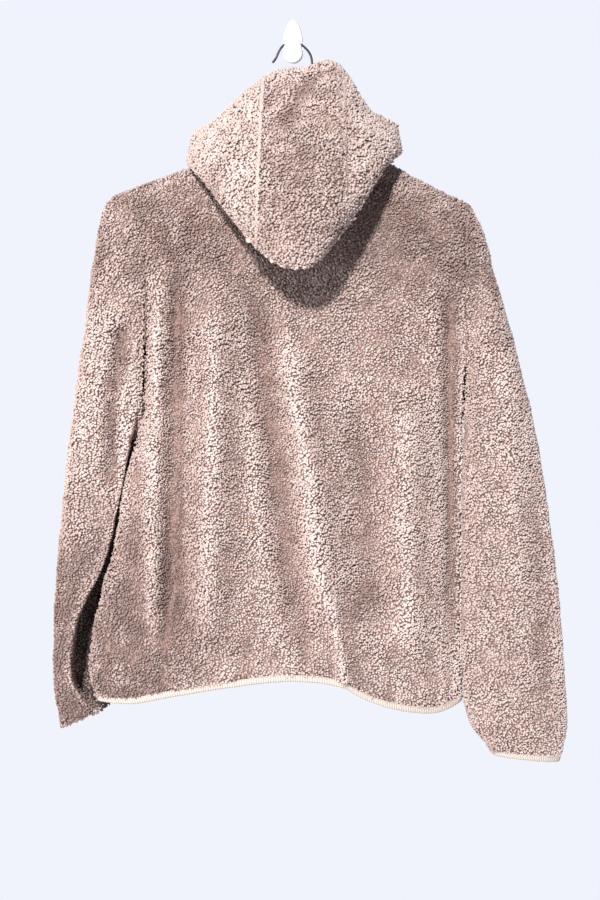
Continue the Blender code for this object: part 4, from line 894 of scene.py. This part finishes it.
def tones(cloth, point, relief, near, rng):
    """How pale each tuft is, 0 to 1: random patches with painted shade and light added."""
    x, y, z = point.T
    # Painted shade over the shoulders, but not on the hood.
    height = smooth_step((z - SHOULDER_END) / (SHOULDER_TOP - SHOULDER_END))
    shoulder = 0.0 if cloth.node.startswith("hood") else SHOULDER_SHADE * height
    patches = TONE_SPREAD * noise(point, *TONE_PATCHES) + TONE_NOISE * rng.standard_normal(len(point))
    # Painted shade by piece, and painted shade in valleys and painted light on ridges.
    tone = TONE + NODE_SHADE.get(cloth.node, 0.0) + shoulder + patches + FOLD_LIGHT_AND_SHADE * relief
    # Painted shade in the lower left corner.
    low = smooth_step((CORNER_TOP - z) / (CORNER_TOP - CORNER_END))
    tone += CORNER_SHADE * low * smooth_step((CORNER_SIDE - x) / (CORNER_SIDE - CORNER_EDGE))
    tone = np.clip(tone, LEAST_TONE, 1)
    # Painted shade where the left sleeve is tucked in behind the body.
    if cloth.node == "sleeve_left":
        tone += TUCKED_SHADE * smooth_step((y - TUCKED_START) / TUCKED_REACH) * near * (z < SHOULDER_END)
    return np.clip(tone, 0, 1)


def pile_of(cloth, layers, rng):
    """Tufts of one piece of cloth, towards the viewer and away from them, in meshes of some size."""
    rows, columns, near = scatter(cloth, rng)
    point, normal, share, seam, row_way, relief = (
        cloth.at(grid, rows, columns)
        for grid in (cloth.points, cloth.normals, cloth.share, cloth.seam,
                     np.gradient(cloth.points, axis=0), cloth.relief)
    )
    count = len(point)
    normal = unit(normal)
    row_way = unit(row_way) * np.where(row_way[:, 2:] > 0, -1, 1)
    down = np.array([0.0, 0.0, -1.0]) + ROW_PULL * row_way
    down = unit(down - normal * np.sum(down * normal, axis=-1, keepdims=True))
    swirl = sum(turn * noise(point, width, seed) for turn, width, seed in SWIRLS)
    angle = NAP_TURN + swirl + STRAY * rng.standard_normal(count)
    lean = down * np.cos(angle)[:, None] + np.cross(normal, down) * np.sin(angle)[:, None]
    size = np.clip(1 + SIZE_SPREAD * rng.standard_normal(count), *SIZES) * (1 + FOLD_SIZE * relief)
    size = np.where(near, size, FAR_SIZE * size) * (HOOD_SIZE if cloth.node.startswith("hood") else 1)
    curl = CURL * noise(point, *CURL_PATCHES) + CURL_SPREAD * rng.standard_normal(count)
    tone = tones(cloth, point, relief, near, rng)
    lift = LUMP_BASE + sum(height * noise(point, width, seed) for height, width, seed in LUMPS)
    lift = (lift + LIFT_SPREAD * rng.standard_normal(count)) * share
    place = {
        "point": point,
        "normal": normal,
        "lean": lean,
        "side": np.cross(normal, lean),
        "share": share,
        "size": size,
        "curl": np.clip(curl, -MOST_CURL, MOST_CURL),
        "tone": tone,
        "lift": lift - SEAM_GROOVE * np.exp(-(seam / SEAM_REACH) ** 2),
    }
    rays = zip((point + normal * ROOM_START).tolist(), normal.tolist())
    free = np.array([layers.ray_cast(start, way, LEAST_ROOM)[3] is None for start, way in rays])
    made = []
    for word, chosen in (("near", near & free), ("far", ~near & free)):
        order = np.flatnonzero(chosen)
        order = order[np.argsort(-point[order, 2], kind="stable")]
        parts = np.array_split(order, max(1, math.ceil(len(order) / MOST_TUFTS)))
        for number, part in enumerate(parts, 1):
            if len(part):
                name = f"pile_{cloth.node}_{word}" + (f"_{number}" if len(parts) > 1 else "")
                made.append(tufts(name, {key: value[part] for key, value in place.items()}))
    return made


def seam_roll(cloth, name, edge, pitch, rows, lift, tone, rng):
    """Rows of curls along a piece's seam, at its top or at the end of its columns."""
    index = (0,) if edge == "top" else (slice(None), -1)
    line, normal = resampled([cloth.points[index], cloth.normals[index]], pitch, cloth.tube)
    seen = normal[:, 1] < -FACING_SHARE
    line, normal = line[seen], unit(normal[seen])
    ahead = unit(np.gradient(line, axis=0)) * np.where(np.gradient(line[:, 2]) > 0, -1, 1)[:, None]
    side = np.cross(normal, ahead)
    offsets = np.repeat(rows, len(line))[:, None] * SEAM_WIDTH
    line, normal, ahead, side = (np.tile(values, (len(rows), 1)) for values in (line, normal, ahead, side))
    count = len(line)
    return tufts(name, {
        "point": line + side * offsets,
        "normal": normal,
        "lean": unit(ahead + SEAM_SPLAY * side * rng.standard_normal((count, 1))),
        "side": side,
        "share": np.ones(count),
        "size": np.full(count, SEAM_SIZE),
        "curl": SEAM_CURL * rng.standard_normal(count),
        "tone": np.clip(tone + TONE_NOISE * rng.standard_normal(count), 0, 1),
        "lift": np.full(count, lift),
    })


# ---- materials
def linear(colour):
    """Linear colour from red, green and blue as they show on a screen, 0 to 255."""
    channels = np.array(colour) / 255
    values = np.where(channels <= 0.04045, channels / 12.92, ((channels + 0.055) / 1.055) ** 2.4)
    return (*values.tolist(), 1.0)


class Shader:
    """A Principled material and short ways to add nodes to it."""

    def __init__(self, name, roughness, metallic=0.0, **sockets):
        self.material = bpy.data.materials.new(name)
        self.material.use_nodes = True
        self.tree = self.material.node_tree
        self.principled = self.tree.nodes["Principled BSDF"]
        for socket, value in dict(Roughness=roughness, Metallic=metallic, **sockets).items():
            self.principled.inputs[socket.replace("_", " ")].default_value = value
        self.place = self.node("ShaderNodeTexCoord").outputs["Object"]

    def node(self, kind, inputs=None, **settings):
        made = self.tree.nodes.new(kind)
        for key, value in settings.items():
            setattr(made, key, value)
        for socket, value in (inputs or {}).items():
            if isinstance(value, bpy.types.NodeSocket):
                self.tree.links.new(value, made.inputs[socket])
            else:
                made.inputs[socket].default_value = value
        return made

    def position(self, scale=(1, 1, 1), turn=(0, 0, 0)):
        """Place on the object in metres, stretched and turned for a texture."""
        inputs = {"Vector": self.place, "Scale": scale, "Rotation": turn}
        return self.node("ShaderNodeMapping", inputs).outputs["Vector"]

    def attribute(self, name):
        return self.node("ShaderNodeAttribute", attribute_name=name).outputs["Fac"]

    def noise(self, scale, detail=2.0, vector=None):
        inputs = {"Vector": vector or self.place, "Scale": scale, "Detail": detail}
        return self.node("ShaderNodeTexNoise", inputs).outputs["Fac"]

    def wave(self, scale, distortion, vector=None):
        inputs = {"Vector": vector or self.place, "Scale": scale, "Distortion": distortion}
        return self.node("ShaderNodeTexWave", inputs).outputs["Fac"]

    def times(self, first, second):
        return self.node("ShaderNodeMath", {0: first, 1: second}, operation="MULTIPLY").outputs[0]

    def ramp(self, value, *stops):
        made = self.node("ShaderNodeValToRGB", {"Fac": value})
        elements = made.color_ramp.elements
        while len(elements) < len(stops):
            elements.new(0.5)
        for element, (place, colour) in zip(elements, stops):
            element.position = place
            element.color = linear(colour)
        return made.outputs["Color"]

    def mix(self, share, first, second, blend="MIX"):
        inputs = {0: share, 6: first, 7: second}
        return self.node("ShaderNodeMix", inputs, data_type="RGBA", blend_type=blend).outputs[2]

    def dressed(self, colour, height, distance, strength):
        """The material, once it has its colour and its relief."""
        bump = self.node("ShaderNodeBump", {"Height": height, "Distance": distance, "Strength": strength})
        self.tree.links.new(colour, self.principled.inputs["Base Color"])
        self.tree.links.new(bump.outputs["Normal"], self.principled.inputs["Normal"])
        return self.material


def pile_material():
    """Curls of polyester pile, pale and a little shiny at the tip, with painted shade that darkens them to
    brown towards the root.
    """
    shader = Shader("pile", 0.82, Sheen_Weight=0.25, Sheen_Roughness=0.5, Specular_IOR_Level=0.3)
    # Painted shade: darker from the tip down to the root, where the curls shade each other.
    by_length = shader.ramp(
        shader.attribute("tip"),
        (0.00, (108, 84, 77)),
        (0.45, (170, 143, 134)),
        (0.80, (222, 205, 199)),
        (1.00, (240, 230, 227)),
    )
    # The tone carries painted shade and light; its darkest stop serves the painted shade of the tucked fold.
    tone = shader.ramp(
        shader.attribute("tone"),
        (0.00, (66, 52, 48)),
        (0.15, (152, 134, 128)),
        (0.50, (214, 204, 200)),
        (1.00, (248, 243, 240)),
    )
    fibre = shader.noise(1400.0, 2.0, shader.position((1.0, 1.0, 0.35)))
    return shader.dressed(shader.mix(1.0, by_length, tone, "MULTIPLY"), fibre, 0.0004, 0.5)


def backing_material():
    """What shows between the curls: the backing, painted dark as the shade between them."""
    shader = Shader("pile_roots", 0.95, Specular_IOR_Level=0.1)
    cells = shader.node("ShaderNodeTexVoronoi", {"Vector": shader.place, "Scale": 330.0}).outputs["Distance"]
    # Painted shade: the backing under the pile is darker than its knit side inside.
    tint = shader.ramp(cells, (0.05, (172, 146, 137)), (0.45, (142, 116, 108)), (0.80, (106, 84, 77)))
    return shader.dressed(tint, cells, 0.0010, 0.8)


def knit_material():
    """Plain knitted back of the fleece, seen inside the jacket."""
    shader = Shader("knit_back", 0.9, Sheen_Weight=0.15, Sheen_Roughness=0.5)
    wale = shader.wave(420.0, 0.6)
    course = shader.wave(300.0, 0.6, shader.position((1, 1, 1), (0, math.pi / 2, 0)))
    stitch = shader.times(wale, course)
    knit = shader.ramp(stitch, (0.0, (150, 124, 113)), (1.0, (199, 175, 164)))
    worn = shader.times(shader.noise(26.0, 3.0), 0.35)
    return shader.dressed(shader.mix(worn, knit, linear((176, 150, 138))), stitch, 0.0004, 0.7)


def binding_material():
    """Ribbed elastic binding in cream, with painted shade in the grooves between its ribs and on its inner
    side.
    """
    shader = Shader("elastic_binding", 0.78, Sheen_Weight=0.2, Sheen_Roughness=0.4)
    rib = shader.attribute("rib")
    shade = shader.ramp(rib, (0.0, (150, 134, 122)), (0.55, (190, 180, 170)), (1.0, (208, 200, 190)))
    tint = shader.mix(shader.times(shader.noise(60.0, 3.0), 0.25), shade, linear((200, 188, 176)))
    return shader.dressed(tint, shader.noise(2600.0, 1.0), 0.0002, 0.5)


def tape_material():
    """Woven zip tape, with a fine diagonal."""
    shader = Shader("zip_tape", 0.85, Sheen_Weight=0.1, Sheen_Roughness=0.5)
    twill = shader.wave(640.0, 0.4, shader.position((1, 0, 1), (0, math.radians(38), 0)))
    weave = shader.times(twill, shader.noise(900.0))
    tint = shader.ramp(weave, (0.05, (142, 116, 103)), (0.6, (196, 171, 157)))
    return shader.dressed(tint, weave, 0.0003, 0.8)


def coil_material():
    shader = Shader("zip_coil", 0.42)
    cast = shader.noise(500.0)
    tint = shader.ramp(cast, (0.3, (176, 152, 138)), (0.7, (205, 184, 170)))
    return shader.dressed(tint, cast, 0.0001, 0.3)


def metal_material(name, dark, bright, roughness):
    """Drawn or cast metal with faint scratches and duller patches."""
    shader = Shader(name, roughness, 1.0)
    scratches = shader.noise(1500.0, 2.0, shader.position((1, 1, 0.1)))
    worn = shader.times(shader.noise(90.0, 4.0), scratches)
    return shader.dressed(shader.ramp(worn, (0.1, dark), (0.45, bright)), scratches, 0.00005, 0.4)


def wood_material():
    """Varnished beech with grain along the bar."""
    shader = Shader("hanger_wood", 0.38, Coat_Weight=0.25, Coat_Roughness=0.2)
    stretched = shader.position((0.06, 1.0, 1.0))
    flecks = shader.noise(1900.0, 2.0, stretched)
    grain = shader.times(shader.noise(420.0, 4.0, stretched), flecks)
    tint = shader.ramp(grain, (0.12, (128, 84, 50)), (0.42, (196, 150, 104)))
    return shader.dressed(tint, flecks, 0.0001, 0.4)


def plastic_material():
    """Glossy white moulded plastic with a faint orange-peel skin."""
    shader = Shader("white_plastic", 0.16, Coat_Weight=0.4, Coat_Roughness=0.06)
    dust = shader.ramp(shader.noise(35.0, 4.0), (0.35, (214, 217, 229)), (0.65, (228, 231, 242)))
    return shader.dressed(dust, shader.noise(160.0), 0.0002, 0.15)


PILE = pile_material()
PILE_BACKING = backing_material()
KNIT_BACK = knit_material()
ELASTIC = binding_material()
TAPE_CLOTH = tape_material()
COIL = coil_material()
WIRE = metal_material("hook_wire", (70, 66, 76), (150, 146, 158), 0.34)
NICKEL = metal_material("zip_nickel", (120, 118, 120), (206, 204, 204), 0.24)
BEECH = wood_material()
WHITE = plastic_material()


# ---- the cut pieces
def body_piece(node, face, s):
    t = even_rows(lambda fine: torso(face, s, fine), BODY_ROWS)
    points = torso(face, s, t)
    if face == "front":
        return Cloth(node, points[:, ::-1])
    inside = np.clip(np.minimum(s, 1 - s) / EDGE_SHARE, 0, 1)
    x, z = points[..., 0].copy(), points[..., 2].copy()
    points[..., 1] -= (folds(FINE_FOLDS, x, z) + FOLD_GAIN * folds(BACK_FOLDS, x, z)) * inside
    return Cloth(node, points)


def sleeve_piece(side):
    a = np.arange(SLEEVE_COLUMNS) / SLEEVE_COLUMNS
    a = a[::-1] if side == "right" else a
    w = even_rows(lambda fine: sleeve(side, a, fine), SLEEVE_ROWS)
    points = sleeve(side, a, w)
    if side == "left":
        points[..., 2] -= OVERHANG * smooth_step((w - OVERHANG_START) / (1 - OVERHANG_START))
    return Cloth("sleeve_" + side, points, tube=True)


def hood_piece(node, left, right, cells):
    u = np.linspace(left, right, cells + 1)
    v = even_rows(lambda fine: hood(u, fine), HOOD_ROWS)
    points = hood(u, v)[::-1]
    start, end = HOOD_TURN
    seen = smooth_step((-grid_normals(points)[..., 1] - start) / (end - start))
    points[..., 1] -= folds(HOOD_FOLDS, points[..., 0], points[..., 2]) * seen
    return Cloth(node, points, open_edges="top")


def cloth_pieces():
    back = even_shares((0, NECK_LEFT, NECK_RIGHT, 1), (SHOULDER_CELLS, NECK_CELLS, SHOULDER_CELLS))
    left = even_shares((0, NECK_LEFT, 0.5 - ZIP_HALF_WIDTH), (SHOULDER_CELLS, THROAT_CELLS))
    right = even_shares((0.5 + ZIP_HALF_WIDTH, NECK_RIGHT, 1), (THROAT_CELLS, SHOULDER_CELLS))
    return [
        body_piece("back", "back", back),
        body_piece("front_left", "front", left),
        body_piece("front_right", "front", right),
        sleeve_piece("left"),
        sleeve_piece("right"),
        hood_piece("hood_left", 0, HOOD_SEAM_LEFT, HOOD_CELLS[0]),
        hood_piece("hood_centre", HOOD_SEAM_LEFT, HOOD_SEAM_RIGHT, HOOD_CELLS[1]),
        hood_piece("hood_right", HOOD_SEAM_RIGHT, 1, HOOD_CELLS[2]),
    ]


def tree_of(jacket):
    """All layers of pile, at its tips, for finding where one lies on another."""
    points = []
    faces = []
    for cloth in jacket:
        index = numbered(cloth.points.shape, cloth.tube) + len(points)
        points += cloth.points.reshape(-1, 3).tolist()
        faces += quads(index)[:, [0, 3, 2, 1]].tolist()
    return BVHTree.FromPolygons(points, faces)


# ---- bindings
def hem_edge():
    """The hem from the zip round the left side, the back and the right side to the zip."""
    left = np.linspace(0.5 - ZIP_HALF_WIDTH, 0, HEM_POINTS[0])[:-1]
    back = np.linspace(0, 1, HEM_POINTS[1])
    right = np.linspace(1, 0.5 + ZIP_HALF_WIDTH, HEM_POINTS[0])[1:]
    return [
        np.concatenate([torso("front", left, t), torso("back", back, t), torso("front", right, t)])
        for t in (1.0, 1.0 - EDGE_STEP)
    ]


def cuff_edge(side):
    a = np.linspace(0, 1, CUFF_POINTS, endpoint=False)
    a = a[::-1] if side == "right" else a
    return [sleeve(side, a, w) for w in (1.0, 1.0 - CUFF_STEP)]


def hood_edge():
    u = np.linspace(0, 1, HOOD_POINTS)
    return [hood(u, v)[::-1] for v in (1.0, 1.0 - CUFF_STEP)]


def binding(name, node, rows, closed, inset):
    """Ribbed elastic folded round an edge: its section follows the edge, rib by rib."""
    edge, before = resampled(rows, RIB_PITCH / 2, closed)
    way = unit(edge - before)
    ahead = np.roll(edge, -1, axis=0) - np.roll(edge, 1, axis=0) if closed else np.gradient(edge, axis=0)
    out = unit(np.cross(way, unit(ahead)))
    crest = np.where(np.arange(len(edge)) % 2 == 0, 1.0, -1.0)
    gather = noise(edge, *GATHER_PATCHES) * GATHER
    middle = (BINDING - CLOTH) / 2 - inset
    section = []
    ribs = []
    for down, swell, rib in zip(BAND_SECTION["down"], BAND_SECTION["out"], BAND_SECTION["rib"]):
        width = down * (1 + GATHER_WIDTH * gather / GATHER)
        lift = swell + middle + np.sign(swell - BAND_MIDDLE) * crest * RIB_HEIGHT * rib + gather
        section.append(edge + way * width[:, None] + out * lift[:, None])
        # Painted shade: rib is zero in the grooves between ribs and the section's value on their crests.
        ribs.append((0.5 + 0.5 * crest) * rib)
    index = looped(numbered((len(section), len(edge))), 0)
    vertices = np.concatenate(section)
    ends = ()
    if closed:
        index = looped(index)
    else:
        above, below = index[:-1], index[1:]
        start = np.full(len(section), len(vertices))
        ends = np.concatenate([
            np.stack([start, below[:, 0], above[:, 0]], axis=1),
            np.stack([start + 1, above[:, -1], below[:, -1]], axis=1),
        ])
        vertices = np.concatenate([vertices, np.mean(section, axis=0)[[0, -1]]])
    item = mesh_object(name, vertices, quads(index), [ELASTIC], ends)
    facing_out(item)
    ribs = np.concatenate(ribs)
    add_attribute(item, "rib", np.pad(ribs, (0, len(vertices) - len(ribs)), constant_values=RIB_CAP))
    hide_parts(node)
    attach(item, "jacket")
    return item, float(spans(edge).sum())


# ---- zip
def zip_line(count, s=0.5):
    """Points down the closed zip, the way along it and the way out of its face."""
    line = torso("front", s, np.linspace(*ZIP_ENDS, count))
    ahead = unit(np.gradient(line, axis=0))
    out = unit(np.cross(ahead, np.array([1.0, 0.0, 0.0])))
    return line, ahead, out * np.where(out[:, 1:2] > 0, 1, -1)


def zip_coils():
    """Two rows of coil teeth, one beside the other, as small rounded blocks."""
    length = spans(zip_line(ZIP_POINTS[0])[0]).sum()
    line, ahead, out = zip_line(int(length / TOOTH_PITCH) * 2)
    side = np.cross(ahead, out) * np.where(np.arange(len(line)) % 2 == 0, 1.0, -1.0)[:, None]
    centre = line + side * TOOTH_REACH * TOOTH_SIDE - out * TOOTH_SINK
    corners = []
    faces = [(0, 3, 2, 1), (8, 9, 10, 11)]
    for level, (lift, width, length) in enumerate(TOOTH_LEVELS):
        for x, z in ((-1, -1), (1, -1), (1, 1), (-1, 1)):
            corner = side * x * width * TOOTH_REACH + ahead * z * length * TOOTH_PITCH
            corners.append(centre + corner + out * lift * TOOTH_DEPTH)
        if level:
            low = 4 * level - 4
            faces += [(low + j, low + (j + 1) % 4, low + 4 + (j + 1) % 4, low + 4 + j) for j in range(4)]
    faces = np.array(faces)[None] + 12 * np.arange(len(line))[:, None, None]
    item = mesh_object("zip_coils", np.stack(corners, axis=1).reshape(-1, 3), faces.reshape(-1, 4), [COIL])
    facing_out(item)
    return item


def stitches(name, line, out):
    """Row of short threads that lie along a line and dip in at both ends."""
    line, out = resampled([line, out], STITCH_PITCH, False)
    out = unit(out)
    ahead = unit(np.gradient(line, axis=0))
    centres = [line + ahead * share * STITCH_PITCH + out * lift for share, lift in STITCH_SPINE]
    side, depth = (np.stack([way * THREAD_RADIUS] * 2, axis=1) for way in (np.cross(ahead, out), out))
    item = spindles(name, np.stack(centres, axis=1), side, depth, TAPE_CLOTH)
    facing_out(item)
    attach(item, "jacket")


# ---- put together
def dress():
    """Cloth, pile, bindings and zip, and materials for the nodes that are kept as they are."""
    rng = np.random.default_rng(PILE_SEED)
    jacket = cloth_pieces()
    layers = tree_of(jacket)
    for cloth in jacket:
        backing = cloth.backing()
        pile = pile_of(cloth, layers, rng)
        if cloth.node in SEAM_ROLLS:
            pile.append(seam_roll(cloth, *SEAM_ROLLS[cloth.node], rng))
        for item in [backing] + pile:
            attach(item, "jacket")
        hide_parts(cloth.node)
    for name, node, rows, closed, inset in (
        ("hem_band", "hem_binding", hem_edge(), False, 0.0),
        ("cuff_band_left", "cuff_binding_left", cuff_edge("left"), True, TURNED_IN),
        ("cuff_band_right", "cuff_binding_right", cuff_edge("right"), True, 0.0),
        ("hood_band", "hood_binding", hood_edge(), False, 0.0),
    ):
        item, length = binding(name, node, rows, closed, inset)
    coils = zip_coils()
    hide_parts("zip_teeth")
    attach(coils, "jacket")
    for side, sign in (("left", -1), ("right", 1)):
        line, _, out = zip_line(ZIP_POINTS[1], 0.5 + sign * (ZIP_HALF_WIDTH - STITCH_EDGE))
        stitches(f"tape_stitches_{side}", line - out * STITCH_SINK, out)
    for node, material in (
        ("zip_tape_left", TAPE_CLOTH),
        ("zip_tape_right", TAPE_CLOTH),
        ("zip_slider", NICKEL),
        ("zip_pull", NICKEL),
        ("hanger_bar", BEECH),
        ("hanger_hook", WIRE),
        ("wall_hook", WHITE),
    ):
        item = frame["nodes"][node]
        item.data.materials.clear()
        item.data.materials.append(material)


def placed(name, data, place):
    """A new object in the scene."""
    item = bpy.data.objects.new(name, data)
    item.location = place
    bpy.context.scene.collection.objects.link(item)
    return item


def make_stage():
    """Pale floor and backdrop, light from above and from the left, and the camera."""
    scene = bpy.context.scene
    scene.view_settings.view_transform = "Standard"
    scene.world = bpy.data.worlds.new("studio")
    scene.world.use_nodes = True
    tree = scene.world.node_tree
    light = tree.nodes["Background"]
    backdrop = tree.nodes.new("ShaderNodeBackground")
    seen = tree.nodes.new("ShaderNodeLightPath")
    chosen = tree.nodes.new("ShaderNodeMixShader")
    for node, colour, strength in (
        (light, (232, 238, 255), SKY_STRENGTH),
        (backdrop, (240, 243, 252), BACKDROP_STRENGTH),
    ):
        node.inputs["Color"].default_value = linear(colour)
        node.inputs["Strength"].default_value = strength
    tree.links.new(seen.outputs["Is Camera Ray"], chosen.inputs["Fac"])
    tree.links.new(light.outputs["Background"], chosen.inputs[1])
    tree.links.new(backdrop.outputs["Background"], chosen.inputs[2])
    tree.links.new(chosen.outputs["Shader"], tree.nodes["World Output"].inputs["Surface"])
    disc = bmesh.new()
    bmesh.ops.create_circle(disc, cap_ends=True, segments=96, radius=FLOOR_RADIUS)
    mesh = bpy.data.meshes.new("floor")
    disc.to_mesh(mesh)
    disc.free()
    shader = Shader("floor", 0.9)
    tint = shader.ramp(shader.noise(3.0), (0.3, (232, 233, 238)), (0.7, (238, 239, 244)))
    shader.tree.links.new(tint, shader.principled.inputs["Base Color"])
    mesh.materials.append(shader.material)
    placed("floor", mesh, (0.0, 0.0, FLOOR_Z))
    for name, place, target, size, power in LAMPS:
        lamp = bpy.data.lights.new(name, "AREA")
        lamp.shape = "DISK"
        lamp.size = size
        lamp.energy = power
        way = Vector(target) - Vector(place)
        placed(name, lamp, place).rotation_euler = way.to_track_quat("-Z", "Y").to_euler()
    camera = bpy.data.cameras.new("camera")
    camera.lens = FOCAL_LENGTH
    camera.sensor_width = SENSOR_WIDTH
    camera.sensor_fit = "AUTO"
    scene.camera = placed("camera", camera, CAMERA_PLACE)
    scene.camera.rotation_euler = (math.radians(90), 0.0, 0.0)


dress()
make_stage()
bpy.context.view_layer.update()
